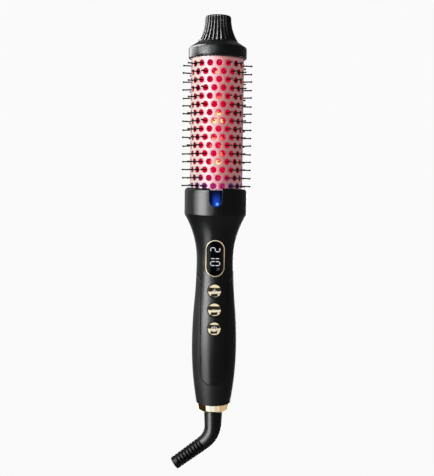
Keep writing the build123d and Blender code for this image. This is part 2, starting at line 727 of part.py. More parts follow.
def strain_relief():
    """The bent, tapering boot of the cord, bored for the cord, with four rows of slots along its end."""
    start = Vector(0, 0, BEND_START_Z)
    turn = radians(BEND_DEG)
    bend_end = start + Vector(-BEND_R * (1 - cos(turn)), 0, -BEND_R * sin(turn))
    out = Vector(-sin(turn), 0, -cos(turn))
    middle = start + Vector(-BEND_R * (1 - cos(turn / 2)), 0, -BEND_R * sin(turn / 2))
    bend = ThreePointArc(start, middle, bend_end)
    entry = Plane(origin=start, z_dir=(0, 0, -1))
    leave = Plane(origin=bend_end, z_dir=out)
    root = Pos(0, 0, (RELIEF_ROOT_Z + BEND_START_Z) / 2) * Cone(
        RELIEF_BEND_R, RELIEF_ROOT_R, RELIEF_ROOT_Z - BEND_START_Z
    )
    curve = sweep([entry * Circle(RELIEF_BEND_R), leave * Circle(RELIEF_RIB_R)], path=bend, multisection=True)
    end_plane = Plane(origin=bend_end + out * RELIEF_RIB_LENGTH, z_dir=out)
    straight = loft([leave * Circle(RELIEF_RIB_R), end_plane * Circle(RELIEF_END_R)])
    relief = root + curve + straight
    bore = Pos(0, 0, BEND_START_Z) * Cylinder(
        CORD_BORE_R, RELIEF_ROOT_Z - BEND_START_Z, align=(Align.CENTER, Align.CENTER, Align.MIN)
    )
    bore += sweep(entry * Circle(CORD_BORE_R), path=bend)
    bore += extrude(leave * Circle(CORD_BORE_R), RELIEF_RIB_LENGTH)
    relief -= bore
    cutter = Box(2 * SLOT_HALF_LENGTH, SLOT_WIDTH, 4, align=(Align.CENTER, Align.CENTER, Align.MIN))
    across = Vector(-cos(turn), 0, sin(turn))
    cuts = []
    for row in range(SLOT_ROWS):
        lean = radians(SLOT_ROW_TURN + row * 360 / SLOT_ROWS)
        facing = Vector(0, -1, 0) * cos(lean) + across * sin(lean)
        for step in range(SLOTS_PER_ROW):
            along = (step + 0.45 + 0.5 * (row % 2)) * SLOT_PITCH
            floor = bend_end + out * along + facing * SLOT_FLOOR
            cuts.append(Plane(origin=floor, x_dir=out.cross(facing), z_dir=facing) * cutter)
    return relief - cuts


# --- Writing the files ----------------------------------------------------------------------------------

NODES = {
    "barrel_tube": barrel_tube(),
    "bristle_pins": bristle_pins(),
    "carrier_sleeve": carrier_sleeve(),
    "heat_core_front": heat_core_half(-1),
    "heat_core_rear": heat_core_half(1),
    "ptc_heater": ptc_heater(),
    "thermal_fuse": thermal_fuse(),
    "thermistor": thermistor(),
    "led_boards": led_boards(),
    "red_leds": red_leds(),
    "insulator_disc": insulator_disc(),
    "heater_leads": heater_leads(),
    "barrel_seat": barrel_seat(),
    "cool_tip": cool_tip(),
    "tip_plug": tip_plug(),
    "tip_screws": tip_screws(),
    "ion_collar": ion_collar(),
    "ion_lens": ion_lens(),
    "blue_led": blue_led(),
    "ion_emitter": ion_emitter(),
    "ion_generator": ion_generator(),
    "front_housing": front_housing(),
    "rear_grip": rear_grip(),
    "display_bezel": display_bezel(),
    "display_window": display_window(),
    "display_module": display_module(),
    "control_board": control_board(),
    "board_screws": board_screws(),
    "tact_switches": tact_switches(),
    "power_board": power_board(),
    "board_spacers": board_spacers(),
    "triac": triac(),
    "base_ring": base_ring(),
    "swivel_socket": swivel_socket(),
    "swivel_spigot": swivel_spigot(),
    "retaining_clip": retaining_clip(),
    "slip_rings": slip_rings(),
    "contact_springs": contact_springs(),
    "strain_relief": strain_relief(),
}
for label, height in BUTTON_Z.items():
    NODES[f"{label}_button"] = button_cap(height)
    NODES[f"{label}_stem"] = button_stem(height)

os.makedirs("parts", exist_ok=True)
for name, shape in NODES.items():
    solids = shape if isinstance(shape, list) else shape.solids()
    whole = solids[0] if len(solids) == 1 else Compound(children=[Solid(s.wrapped) for s in solids])
    export_step(whole, f"parts/{name}.step")
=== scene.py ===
"""Dresses the heated round hair brush: finishes, perforated barrel, bristles, nose, lights and stage."""

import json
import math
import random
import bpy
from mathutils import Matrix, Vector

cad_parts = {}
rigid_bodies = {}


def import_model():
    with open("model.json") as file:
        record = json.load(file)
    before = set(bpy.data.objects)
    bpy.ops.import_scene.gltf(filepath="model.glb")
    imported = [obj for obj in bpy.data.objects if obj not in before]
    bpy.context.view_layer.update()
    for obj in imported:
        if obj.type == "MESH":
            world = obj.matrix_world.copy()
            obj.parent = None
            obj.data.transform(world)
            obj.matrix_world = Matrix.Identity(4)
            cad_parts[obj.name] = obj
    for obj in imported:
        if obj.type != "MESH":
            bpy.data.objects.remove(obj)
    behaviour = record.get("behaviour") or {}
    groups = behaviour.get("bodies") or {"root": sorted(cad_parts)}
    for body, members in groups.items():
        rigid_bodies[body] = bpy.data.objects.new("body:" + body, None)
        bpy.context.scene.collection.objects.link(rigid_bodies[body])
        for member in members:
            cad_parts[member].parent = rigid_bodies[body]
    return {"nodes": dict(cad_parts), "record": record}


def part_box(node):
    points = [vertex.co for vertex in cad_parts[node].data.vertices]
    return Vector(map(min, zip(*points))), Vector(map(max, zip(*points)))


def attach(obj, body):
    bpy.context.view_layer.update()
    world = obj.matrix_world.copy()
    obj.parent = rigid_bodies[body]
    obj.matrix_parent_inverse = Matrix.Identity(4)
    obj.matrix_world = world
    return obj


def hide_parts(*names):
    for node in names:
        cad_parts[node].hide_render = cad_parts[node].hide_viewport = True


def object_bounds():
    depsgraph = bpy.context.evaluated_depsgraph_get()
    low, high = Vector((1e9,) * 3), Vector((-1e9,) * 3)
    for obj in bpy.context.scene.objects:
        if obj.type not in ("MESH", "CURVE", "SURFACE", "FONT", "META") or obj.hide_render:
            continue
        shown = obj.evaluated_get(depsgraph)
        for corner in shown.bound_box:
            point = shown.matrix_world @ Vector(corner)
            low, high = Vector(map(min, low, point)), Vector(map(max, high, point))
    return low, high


bl_info = {
    "name": "Heated Round Hair Brush",
    "version": (1, 0, 0),
    "blender": (4, 5, 0),
    "location": "3D View > Sidebar > Hair Brush",
    "description": "Builds the looks of a heated round hair brush round its CAD frame",
    "category": "Add Mesh",
}

import bmesh
import bpy
from bpy.props import FloatProperty, FloatVectorProperty, IntProperty, PointerProperty, StringProperty
from bpy.types import Operator, Panel, PropertyGroup
from mathutils import Matrix, Vector
from mathutils.bvhtree import BVHTree

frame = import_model()
CAD_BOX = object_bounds()
MM = 0.001

# --- Places read from the frame, in metres ---

BARREL_LOW, BARREL_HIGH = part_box("barrel_tube")
SLEEVE_LOW, SLEEVE_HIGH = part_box("carrier_sleeve")
PINS_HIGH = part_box("bristle_pins")[1]
NOSE_LOW, NOSE_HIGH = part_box("cool_tip")
LENS_LOW, LENS_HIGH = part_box("ion_lens")
WINDOW_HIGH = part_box("display_window")[1]
BUTTONS = ("plus", "minus", "power")


# --- Settings a user would change ---


def length(name, description, default):
    """A length property in metres."""
    return FloatProperty(
        name=name, description=description, default=default, precision=5, unit="LENGTH", subtype="DISTANCE"
    )


def angle(name, description, degrees):
    """An angle property, given in degrees."""
    return FloatProperty(
        name=name, description=description, default=math.radians(degrees), unit="ROTATION", subtype="ANGLE"
    )


def colour(name, description, default):
    """A colour property, in linear red, green and blue."""
    return FloatVectorProperty(
        name=name, description=description, default=default, size=3, min=0, soft_max=1, subtype="COLOR"
    )


def whole(name, description, default):
    """A whole number of at least 1."""
    return IntProperty(name=name, description=description, default=default, min=1)


def share(name, description, default):
    """A plain number between 0 and 1."""
    return FloatProperty(name=name, description=description, default=default, min=0, max=1, subtype="FACTOR")


class BarrelSettings(PropertyGroup):
    """The perforated metal barrel."""

    radius: length("Radius", "Outer radius of the metal tube", BARREL_HIGH.x)
    wall: length("Wall", "Thickness of the metal tube", 0.8 * MM)
    hole_diameter: length("Hole diameter", "Width of each round hole", 4.3 * MM)
    hole_edge: length("Hole edge", "Rounding of the outer edge of each hole", 0.24 * MM)
    holes_per_row: whole("Holes per row", "Holes in each ring round the tube", 18)
    rows: whole("Rows", "Rings of holes along the tube", 16)
    row_pitch: length("Row pitch", "Height from one row of holes to the next", 5.72 * MM)
    top_row: length("Top row", "Height of the middle of the top row", 202.3 * MM)
    first_hole: angle("First hole", "Turn of the top row's first hole from the front", 4.1)
    metal: colour("Metal", "Rose champagne coating", (0.95, 0.72, 0.70))
    roughness: share("Roughness", "Blur of the metal's reflections", 0.38)


class BristleSettings(PropertyGroup):
    """The ball-tipped nylon pins."""

    shaft_diameter: length("Shaft diameter", "Thickness of a pin above its root", 1.02 * MM)
    root_diameter: length("Root diameter", "Thickness of a pin where it leaves the sleeve", 1.3 * MM)
    ball_diameter: length("Ball diameter", "Ball at the tip of each pin", 1.4 * MM)
    lean: angle("Lean", "Most that a pin leans from straight out", 3.0)
    nylon: colour("Nylon", "Black nylon of the pins", (0.004, 0.004, 0.004))


class GlowSettings(PropertyGroup):
    """The red light inside the barrel and the blue light of the ion port, painted on as glow."""

    red: colour("Red", "Light that fills the barrel", (0.84, 0.004, 0.10))
    amber: colour("Amber", "Hot spot in front of some light chips", (1.0, 1.45, 0.42))
    violet: colour("Violet", "Light at the barrel's foot, where the blue lamp adds to it", (0.36, 0.05, 0.45))
    navy: colour("Navy", "Light at the sides of the barrel's foot", (0.03, 0.09, 0.38))
    blue: colour("Blue", "Light in the ion port", (0.012, 0.075, 0.62))
    smoke: colour("Smoke", "What each surface of the sleeve lets through", (0.66, 0.36, 0.42))
    strength: FloatProperty(name="Strength", description="Brightness of the red light", default=2.3, min=0)


class NoseSettings(PropertyGroup):
    """The fluted insulated nose."""

    flutes: whole("Flutes", "Grooves round the nose", 27)
    flute_depth: length("Flute depth", "Depth of each groove at the nose's top", 0.8 * MM)
    flange_radius: length("Flange radius", "Radius of the flange over the barrel's end", NOSE_HIGH.x)
    edge_round: length("Edge rounding", "Radius of the flange's upper edge", 1.6 * MM)
    plastic: colour("Plastic", "Black heatproof plastic", (0.020, 0.020, 0.021))
    roughness: share("Roughness", "Blur of the plastic's reflections", 0.27)


class HandleSettings(PropertyGroup):
    """The handle's two black finishes and the collar."""

    panel: colour("Panel", "Satin black of the neck and front panel", (0.020, 0.020, 0.021))
    grip: colour("Grip", "Soft-touch black of the grip", (0.020, 0.020, 0.021))
    panel_roughness: share("Panel roughness", "Blur of the front panel's reflections", 0.30)
    grip_roughness: share("Grip roughness", "Blur of the grip's reflections", 0.46)
    edge_round: length("Edge rounding", "Softening of moulded edges", 0.18 * MM)


class DisplaySettings(PropertyGroup):
    """The digits of the display."""

    reading: StringProperty(name="Reading", description="Digits that are lit, read downward", default="210")
    digit_width: length("Digit width", "Width of a digit between the middles of its strokes", 2.85 * MM)
    digit_height: length("Digit height", "Height of a digit between the middles of its strokes", 6.45 * MM)
    digit_pitch: length("Digit pitch", "Spacing of the digits along the display", 5.0 * MM)
    stroke: length("Stroke", "Width of a lit segment", 0.56 * MM)
    light: colour("Light", "Colour of the lit segments", (0.80, 0.80, 0.88))


class TrimSettings(PropertyGroup):
    """Gold bezel, buttons and base ring."""

    gold: colour("Gold", "Pale gold plating", (0.93, 0.76, 0.47))
    roughness: share("Roughness", "Blur of the gold's reflections", 0.06)
    bezel_line: length("Bezel line", "Width of the gold line round the display", 0.62 * MM)
    bezel_inset: length("Bezel inset", "From the frame's outer edge to its gold line's middle", 0.55 * MM)
    button_radius: length("Button radius", "Radius of each button's cap", 4.6 * MM)
    shade_ring_gap: length("Gasket gap", "From a button's cap to the ring round it", 0.22 * MM)
    shade_ring_width: length("Gasket width", "Width of the black ring round each button", 0.55 * MM)
    mark: colour("Mark", "Pale etched metal of the marks", (0.97, 0.90, 0.82))
    mark_width: length("Mark width", "Stroke of the marks on the buttons", 0.72 * MM)


class StageSettings(PropertyGroup):
    """Camera, floor and studio light."""

    eye_height: length("Eye height", "Height of the camera above the middle of the grip", 124.3 * MM)
    eye_distance: length("Eye distance", "Distance of the camera in front of the brush's axis", 582.2 * MM)
    eye_side: length("Eye side", "Distance of the camera to the right of the axis", 1.2 * MM)
    pitch: angle("Pitch", "Downward tilt of the camera", 4.5)
    roll: angle("Roll", "Roll of the camera", 0.755)
    focal_length: FloatProperty(
        name="Focal length", description="Lens of the camera in millimetres", default=60.5, unit="CAMERA"
    )
    floor_drop: length("Floor drop", "Height of the brush above the floor", 240.0 * MM)
    backdrop: colour("Backdrop", "Pale backdrop and floor", (0.955, 0.955, 0.955))


# --- Shader building ---

# Vector operations whose result is a number
MEASURES = ("DISTANCE", "LENGTH", "DOT_PRODUCT")

# Specular level of the black mouldings and pins, and the grain of the smooth ones, per metre
BLACK_GLOSS = 0.07
FINE_GRAIN = 2600.0
BEVEL_SAMPLES = 4
BLACK = (0.0, 0.0, 0.0, 1.0)


class Shader:
    """A small helper that adds nodes to one material or world and joins them."""

    def __init__(self, owner, output="ShaderNodeOutputMaterial"):
        owner.use_nodes = True
        self.owner, self.output, self.tree = owner, output, owner.node_tree
        self.tree.nodes.clear()

    def feed(self, socket, value):
        """Joins an output to an input, or sets the input to a value."""
        if isinstance(value, bpy.types.NodeSocket):
            self.tree.links.new(value, socket)
        else:
            socket.default_value = value

    def node(self, kind, settings=None, **sockets):
        """Adds a node. Settings are its own attributes, and sockets are its inputs by name."""
        made = self.tree.nodes.new(kind)
        for key, value in (settings or {}).items():
            setattr(made, key, value)
        for key, value in sockets.items():
            self.feed(made.inputs[key.replace("_", " ")], value)
        return made

    def fill(self, kind, settings, values):
        """Adds a node, feeds its inputs in their order, and gives its outputs."""
        made = self.node(kind, settings)
        for socket, value in zip(made.inputs, values):
            self.feed(socket, value)
        return made.outputs

    def maths(self, operation, *values):
        """A maths node's output."""
        return self.fill("ShaderNodeMath", {"operation": operation}, values)[0]

    def vector_maths(self, operation, *values):
        """A vector maths node's output."""
        outputs = self.fill("ShaderNodeVectorMath", {"operation": operation}, values)
        return outputs["Value" if operation in MEASURES else "Vector"]

    def product(self, first, *others):
        """Values multiplied together."""
        for value in others:
            first = self.maths("MULTIPLY", first, value)
        return first

    def ramp(self, value, low, high, start=0.0, end=1.0):
        """A smooth step of a value from start to end between two limits."""
        smooth = {"interpolation_type": "SMOOTHSTEP"}
        return self.fill("ShaderNodeMapRange", smooth, (value, low, high, start, end))[0]

    def blend(self, amount, first, second):
        """A mix of two colours."""
        made = self.node("ShaderNodeMix", {"data_type": "RGBA"})
        sockets = {socket.identifier: socket for socket in made.inputs}
        self.feed(sockets["Factor_Float"], amount)
        self.feed(sockets["A_Color"], first)
        self.feed(sockets["B_Color"], second)
        return [socket for socket in made.outputs if socket.identifier == "Result_Color"][0]

    def split(self, vector):
        """The parts of a vector, under the names X, Y and Z."""
        return self.node("ShaderNodeSeparateXYZ", Vector=vector).outputs

    def place(self):
        """The point being shaded, in the brush's own frame."""
        return self.node("ShaderNodeTexCoord").outputs["Object"]

    def noise(self, scale, detail=2.0, stretch=(1, 1, 1)):
        """Noise over the brush's own frame, finer with scale, drawn out by stretch."""
        where = self.vector_maths("MULTIPLY", self.place(), stretch)
        return self.node("ShaderNodeTexNoise", Vector=where, Scale=scale, Detail=detail).outputs["Fac"]

    def patches(self, start, end, scale, detail=2.0, low=0.3, high=0.7):
        """A value that drifts from start to end in patches, over a share of the noise's range."""
        return self.ramp(self.noise(scale, detail), low, high, start, end)

    def grained(self, height, depth, edge=0.0):
        """A normal with a grain of some depth in it, over edges that are softened by a radius."""
        bump = self.node("ShaderNodeBump", Strength=1.0, Distance=depth, Height=height)
        if edge:
            softened = self.node("ShaderNodeBevel", {"samples": BEVEL_SAMPLES}, Radius=edge)
            self.feed(bump.inputs["Normal"], softened.outputs["Normal"])
        return bump.outputs["Normal"]

    def finish(self, surface):
        """Joins a surface shader to the output, and gives the finished material or world."""
        output = self.tree.nodes.new(self.output)
        self.tree.links.new(surface, output.inputs["Surface"])
        return self.owner

    def principled(self, **sockets):
        """Finishes with a principled surface."""
        return self.finish(self.node("ShaderNodeBsdfPrincipled", **sockets).outputs["BSDF"])

    def mix(self, amount, first, second):
        """Finishes with a mix of two surface shaders."""
        shaders = first.outputs[0], second.outputs[0]
        return self.finish(self.fill("ShaderNodeMixShader", {}, (amount, *shaders))[0])


def rgba(values, level=1.0):
    """A colour at a level of its brightness, with full opacity."""
    return (*(value * level for value in values), 1.0)


def new_shader(name):
    """The helper that fills a fresh material."""
    return Shader(bpy.data.materials.new(name))


def moulded(name, base, roughness, depth, edge=0.0, specular=BLACK_GLOSS, grain=FINE_GRAIN):
    """Moulded plastic: a fine grain in the normal and slow patches in the roughness."""
    shader = new_shader(name)
    return shader.principled(
        Base_Color=rgba(base),
        Roughness=shader.patches(roughness - 0.03, roughness + 0.03, 60.0, 4.0),
        Specular_IOR_Level=specular,
        Normal=shader.grained(shader.noise(grain, 3.0), depth, edge),
    )


def metal(name, base, roughness, grain, depth, stretch=(1, 1, 1), edge=0.0, variation=0.04):
    """Metal or plating, with a fine grain that stretch can draw out into brushing."""
    shader = new_shader(name)
    height = shader.noise(grain, 3.0, stretch)
    return shader.principled(
        Base_Color=shader.blend(shader.ramp(height, 0.3, 0.7), rgba(base, 0.86), rgba(base)),
        Metallic=1.0,
        Roughness=shader.patches(roughness - variation / 2, roughness + variation, 110.0, 5.0, 0.35),
        Normal=shader.grained(height, depth, edge),
    )


# --- Light inside, painted as glow ---

# Where the light painted inside the barrel changes: from the tube's end up to the foot's glow, how far aside
# that glow turns navy, and how far right of the axis all of the light dims as painted shade, and by how much
FOOT_GLOW = 13.5 * MM
NAVY_ASIDE = (5.0 * MM, 10.0 * MM)
DIM_ASIDE = (7.0 * MM, 14.0 * MM)
DIMMED = 0.7

# Painted amber glints, hot spots of the light chips: distance right of the axis and height in millimetres,
# radius in millimetres and strength
HOT_SPOTS = (
    (-0.5, 196.3, 1.7, 0.75),
    (1.7, 179.0, 1.8, 0.35),
    (1.2, 166.9, 3.0, 1.0),
    (-1.6, 161.8, 3.0, 1.0),
    (3.0, 162.3, 2.4, 1.0),
    (-2.2, 149.8, 2.2, 0.6),
    (3.4, 150.2, 2.0, 0.4),
    (-4.0, 144.9, 1.5, 0.6),
    (2.3, 144.6, 1.4, 0.4),
    (3.4, 138.8, 1.9, 0.45),
    (1.0, 133.0, 3.0, 1.0),
    (-3.6, 133.6, 1.3, 0.5),
)
SPOT_CORE = 0.3
RAGGED_RIM = 3.0 * MM
AMBER_GAIN = 2.2

# Where the painted glint of the lamp behind the lens sits: right of the axis, and above the lens's foot
PORT_LAMP = (1.0 * MM, 1.9 * MM)


def inside_light(shader):
    """Painted light: red over the barrel, violet and magenta at its foot, navy beside it, dimmer to the right
    by painted shade.
    """
    glow = bpy.context.scene.brush_glow
    spot = shader.split(shader.place())
    across, height = spot["X"], spot["Z"]
    foot = BARREL_LOW.z + FOOT_GLOW
    magenta = [(a + b) / 2 for a, b in zip(glow.red, glow.violet)]
    aside = shader.ramp(shader.maths("ABSOLUTE", across), *NAVY_ASIDE)
    low = shader.blend(aside, rgba(glow.violet), rgba(glow.navy))
    middle = shader.blend(shader.product(aside, 0.7), rgba(magenta), rgba(glow.navy))
    lower = shader.blend(shader.ramp(height, foot, foot + 7.0 * MM), low, middle)
    light = shader.blend(shader.ramp(height, foot + 4.0 * MM, foot + 12.0 * MM), lower, rgba(glow.red))
    return shader.blend(shader.ramp(across, *DIM_ASIDE, 0.0, DIMMED), light, BLACK)


def hot_spots(shader):
    """How much painted amber glint shows at a point, from the list of hot spots, with ragged rims."""
    flat = shader.vector_maths("MULTIPLY", shader.place(), (1, 0, 1))
    ragged = shader.maths("MULTIPLY_ADD", shader.noise(420.0, 1.0), RAGGED_RIM, -RAGGED_RIM / 2)
    total = 0.0
    for across, height, radius, strength in HOT_SPOTS:
        away = shader.vector_maths("DISTANCE", flat, (across * MM, 0, height * MM))
        reach = shader.maths("ADD", away, ragged)
        near = shader.ramp(reach, radius * SPOT_CORE * MM, radius * MM, strength, 0.0)
        total = shader.maths("MAXIMUM", near, total)
    return total


def core_glow(name, base, level, amber):
    """Painted red glow of the light chips on a surface inside the barrel, with painted amber glints round
    some of them.
    """
    glow = bpy.context.scene.brush_glow
    shader = new_shader(name)
    cloud = shader.patches(0.78 * level, 1.12 * level, 220.0, low=0.25, high=0.75)
    amount = shader.product(hot_spots(shader), amber)
    strength = shader.product(shader.maths("MULTIPLY_ADD", amount, AMBER_GAIN, cloud), glow.strength)
    return shader.principled(
        Base_Color=rgba(base),
        Roughness=0.5,
        Emission_Color=shader.blend(amount, inside_light(shader), rgba(glow.amber)),
        Emission_Strength=strength,
    )


def clear_red_sleeve():
    """The thin smoked red sleeve between the light chips and the barrel's holes, with their light painted on
    as a faint glow.
    """
    glow = bpy.context.scene.brush_glow
    shader = new_shader("clear red sleeve")
    tint = shader.blend(shader.noise(300.0), rgba(glow.smoke, 0.9), rgba(glow.smoke, 1.1))
    clear = shader.node("ShaderNodeBsdfTransparent", Color=tint)
    # The film's glow is the chips' light painted on the sleeve
    film = shader.node(
        "ShaderNodeBsdfPrincipled",
        Base_Color=(0.30, 0.015, 0.03, 1.0),
        Roughness=0.25,
        Specular_IOR_Level=0.2,
        Emission_Color=inside_light(shader),
        Emission_Strength=0.45,
    )
    return shader.mix(0.16, clear, film)


def port_blue():
    """Blue lens with the lamp behind its lower end painted on as light: brightest over the lamp, dark at its
    top.
    """
    glow = bpy.context.scene.brush_glow
    shader = new_shader("ion port blue")
    place = shader.place()
    lamp = (PORT_LAMP[0], LENS_LOW.y, LENS_LOW.z + PORT_LAMP[1])
    glint = shader.ramp(shader.vector_maths("DISTANCE", place, lamp), 0.2 * MM, 1.5 * MM, 1.0, 0.0)
    spot = shader.split(place)
    aside = shader.maths("ABSOLUTE", shader.maths("SUBTRACT", spot["X"], 0.5 * MM))
    beam = shader.ramp(aside, 0.8 * MM, 3.6 * MM, 1.0, 0.03)
    wash = shader.ramp(spot["Z"], LENS_LOW.z + 2.0 * MM, LENS_HIGH.z - 1.0 * MM, 1.0, 0.05)
    cloud = shader.patches(0.75, 1.1, 260.0, low=0.25, high=0.75)
    level = shader.product(wash, cloud, beam)
    return shader.principled(
        Base_Color=(0.005, 0.012, 0.06, 1.0),
        Roughness=0.16,
        Specular_IOR_Level=0.5,
        Emission_Color=shader.blend(glint, rgba(glow.blue), (0.10, 0.32, 1.0, 1.0)),
        Emission_Strength=shader.maths("MULTIPLY_ADD", glint, 1.3, level),
    )


# --- Finishes ---

# How near the front or back a column of pins must be to carry painted glow, as the cosine of its bearing
LIT_COLUMNS = (0.925, 0.955)

# The boot's slotted length: the least distance of its skin from its axis at the middle, how that
# changes along it, and half its length
BOOT_SKIN = 4.85 * MM
BOOT_TAPER = -0.021
BOOT_SLOTTED_HALF = 12.6 * MM

# What is sealed inside, by the record's slot: colour, roughness, whether it is metal, and grain per metre
HIDDEN_FINISHES = {
    "heater_film": ((0.55, 0.28, 0.06), 0.35, False, 900.0),
    "board_laminate": ((0.02, 0.16, 0.05), 0.4, False, 700.0),
    "mica": ((0.62, 0.55, 0.42), 0.5, False, 500.0),
    "seat_plastic": ((0.02, 0.02, 0.02), 0.5, False, 2000.0),
    "steel": ((0.62, 0.62, 0.63), 0.3, True, 1500.0),
    "contact_brass": ((0.80, 0.60, 0.25), 0.3, True, 1500.0),
    "wire_insulation": ((0.55, 0.05, 0.04), 0.45, False, 1200.0),
    "led_blue": ((0.05, 0.12, 0.7), 0.2, False, 1200.0),
}


def barrel_metal():
    """Rose champagne coating with a faint brushing round the tube."""
    barrel = bpy.context.scene.brush_barrel
    brushing = (0.25, 0.25, 1.6)
    depth = 0.012 * MM
    return metal("rose champagne", barrel.metal, barrel.roughness, 900.0, depth, brushing, variation=0.05)


def bristle_nylon():
    """Black nylon. Pins over the front and rear light boards get red glow painted on their ends and in the
    holes.
    """
    bristles, glow = bpy.context.scene.brush_bristles, bpy.context.scene.brush_glow
    shader = new_shader("bristle nylon")
    from_axis = shader.vector_maths("MULTIPLY", shader.place(), (1, 1, 0))
    outward = shader.vector_maths("NORMALIZE", from_axis)
    over_boards = shader.ramp(shader.maths("ABSOLUTE", shader.split(outward)["Y"]), *LIT_COLUMNS)
    radius = shader.vector_maths("LENGTH", from_axis)
    normal = shader.node("ShaderNodeNewGeometry").outputs["Normal"]
    end_face = shader.ramp(shader.vector_maths("DOT_PRODUCT", normal, outward), 0.25, 0.6)
    ball = bristles.ball_diameter
    at_tip = shader.ramp(radius, PINS_HIGH.x - ball * 0.7, PINS_HIGH.x - ball * 0.4)
    in_hole = shader.ramp(radius, BARREL_HIGH.x + 0.5 * MM, BARREL_HIGH.x + 2.5 * MM, 0.8, 0.0)
    lit = shader.maths("MAXIMUM", shader.product(end_face, at_tip), in_hole)
    return shader.principled(
        Base_Color=rgba(bristles.nylon),
        Roughness=shader.patches(0.34, 0.46, 1500.0),
        Specular_IOR_Level=BLACK_GLOSS,
        Emission_Color=rgba(glow.red),
        Emission_Strength=shader.product(lit, over_boards, 0.75),
    )


def nose_plastic():
    """Heatproof black of the nose."""
    nose = bpy.context.scene.brush_nose
    return moulded("nose black", nose.plastic, nose.roughness, 0.006 * MM)


def collar_plastic():
    """Satin black of the collar, with softened edges."""
    handle = bpy.context.scene.brush_handle
    return moulded("collar black", handle.panel, 0.25, 0.005 * MM, handle.edge_round)


def panel_plastic():
    """Satin black of the neck and front panel."""
    handle = bpy.context.scene.brush_handle
    return moulded("panel black", handle.panel, handle.panel_roughness, 0.006 * MM, handle.edge_round)


def grip_plastic():
    """Soft-touch black with a fine leathery grain."""
    handle = bpy.context.scene.brush_handle
    rough, edge = handle.grip_roughness, handle.edge_round
    return moulded("soft grip black", handle.grip, rough, 0.016 * MM, edge, grain=1700.0)


def matt_black():
    """Matt black of the rings round the buttons, which are painted shade of the gap round each cap."""
    handle = bpy.context.scene.brush_handle
    return moulded("matt black", handle.panel, 0.6, 0.006 * MM, specular=0.03)


def painted_edge_highlight():
    """Glossy grey, a painted highlight along the grip's edge."""
    return moulded("painted edge highlight", (0.14, 0.14, 0.14), 0.4, 0.008 * MM, specular=0.3, grain=2200.0)


def boot_rubber():
    """Flexible black of the cord's boot: smooth at its bend, grained where slotted, and its slots matt and
    painted dark as shade.
    """
    handle = bpy.context.scene.brush_handle
    outlet = [mount for mount in frame["record"]["mounts"] if mount["name"] == "cord_outlet"][0]
    axis = tuple(outlet["axis"])
    shader = new_shader("boot rubber")
    reach = shader.vector_maths("SUBTRACT", shader.place(), tuple(outlet["pos_m"]))
    along = shader.vector_maths("DOT_PRODUCT", reach, axis)
    from_axis = shader.vector_maths("LENGTH", shader.vector_maths("CROSS_PRODUCT", reach, axis))
    skin = shader.maths("MULTIPLY_ADD", along, BOOT_TAPER, BOOT_SKIN)
    slotted = shader.maths("COMPARE", along, 0.0, BOOT_SLOTTED_HALF)
    # The slot floors are painted near-black as shade, and also left without gloss
    matt = shader.product(shader.maths("LESS_THAN", from_axis, skin), slotted)
    grained = shader.ramp(along, -BOOT_SLOTTED_HALF - 1.0 * MM, -BOOT_SLOTTED_HALF + 1.0 * MM, 1.0, 0.3)
    return shader.principled(
        Base_Color=shader.blend(matt, rgba(handle.grip), (0.001, 0.001, 0.001, 1.0)),
        Roughness=shader.patches(0.30, 0.36, 60.0, 4.0),
        Specular_IOR_Level=shader.product(
            grained, shader.maths("MULTIPLY_ADD", matt, -BLACK_GLOSS, BLACK_GLOSS)
        ),
        Normal=shader.grained(shader.noise(2200.0, 3.0), 0.01 * MM, handle.edge_round / 2),
    )


def gold_plating(name):
    """Polished pale gold."""
    trim = bpy.context.scene.brush_trim
    return metal(name, trim.gold, trim.roughness, 2400.0, 0.0015 * MM, edge=0.12 * MM, variation=0.03)


def bezel_gold():
    """A thin gold line along the middle of the display's black frame."""
    trim = bpy.context.scene.brush_trim
    low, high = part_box("display_bezel")
    shader = new_shader("bezel gold")
    spot = shader.split(shader.place())
    bend = (high.x - low.x) / 2
    past_top = shader.maths("MAXIMUM", shader.maths("SUBTRACT", spot["Z"], high.z - bend), 0.0)
    past_foot = shader.maths("MAXIMUM", shader.maths("SUBTRACT", low.z + bend, spot["Z"]), 0.0)
    up = shader.maths("ADD", past_top, past_foot)
    across = shader.maths("POWER", spot["X"], 2.0)
    reach = shader.maths("SQRT", shader.maths("MULTIPLY_ADD", up, up, across))
    aside = shader.maths("ABSOLUTE", shader.maths("SUBTRACT", reach, bend - trim.bezel_inset))
    line = shader.ramp(aside, trim.bezel_line * 0.35, trim.bezel_line * 0.65, 1.0, 0.0)
    tint = shader.blend(shader.noise(900.0), rgba(trim.gold, 0.8), rgba(trim.gold))
    return shader.principled(
        Base_Color=shader.blend(line, (0.003, 0.003, 0.003, 1.0), tint),
        Metallic=line,
        Roughness=shader.patches(0.2, 0.3, 300.0),
        Specular_IOR_Level=0.05,
    )


def etched_gold():
    """Matt etched gold of the marks on the buttons."""
    return metal("etched gold", bpy.context.scene.brush_trim.mark, 0.5, 5000.0, 0.006 * MM)


def display_glass():
    """Black curved glass, with faint smears in its gloss."""
    shader = new_shader("display glass")
    return shader.principled(
        Base_Color=(0.0035, 0.0035, 0.004, 1.0),
        Roughness=shader.patches(0.10, 0.17, 180.0, 3.0, 0.35),
        Specular_IOR_Level=0.4,
    )


def digit_light(level):
    """Lit display segment, a little brighter in patches."""
    display = bpy.context.scene.brush_display
    shader = new_shader(f"digit light {level:g}")
    return shader.principled(
        Base_Color=(0.02, 0.02, 0.02, 1.0),
        Roughness=0.4,
        Emission_Color=rgba(display.light),
        Emission_Strength=shader.patches(level * 0.88, level, 900.0, 1.0),
    )


def hidden_finish(slot):
    """A plain but real finish for a piece that is sealed inside."""
    base, roughness, is_metal, grain = HIDDEN_FINISHES[slot]
    if is_metal:
        return metal(slot, base, roughness, grain, 0.01 * MM)
    return moulded(slot, base, roughness, 0.01 * MM, specular=0.4, grain=grain)


# --- Mesh building ---

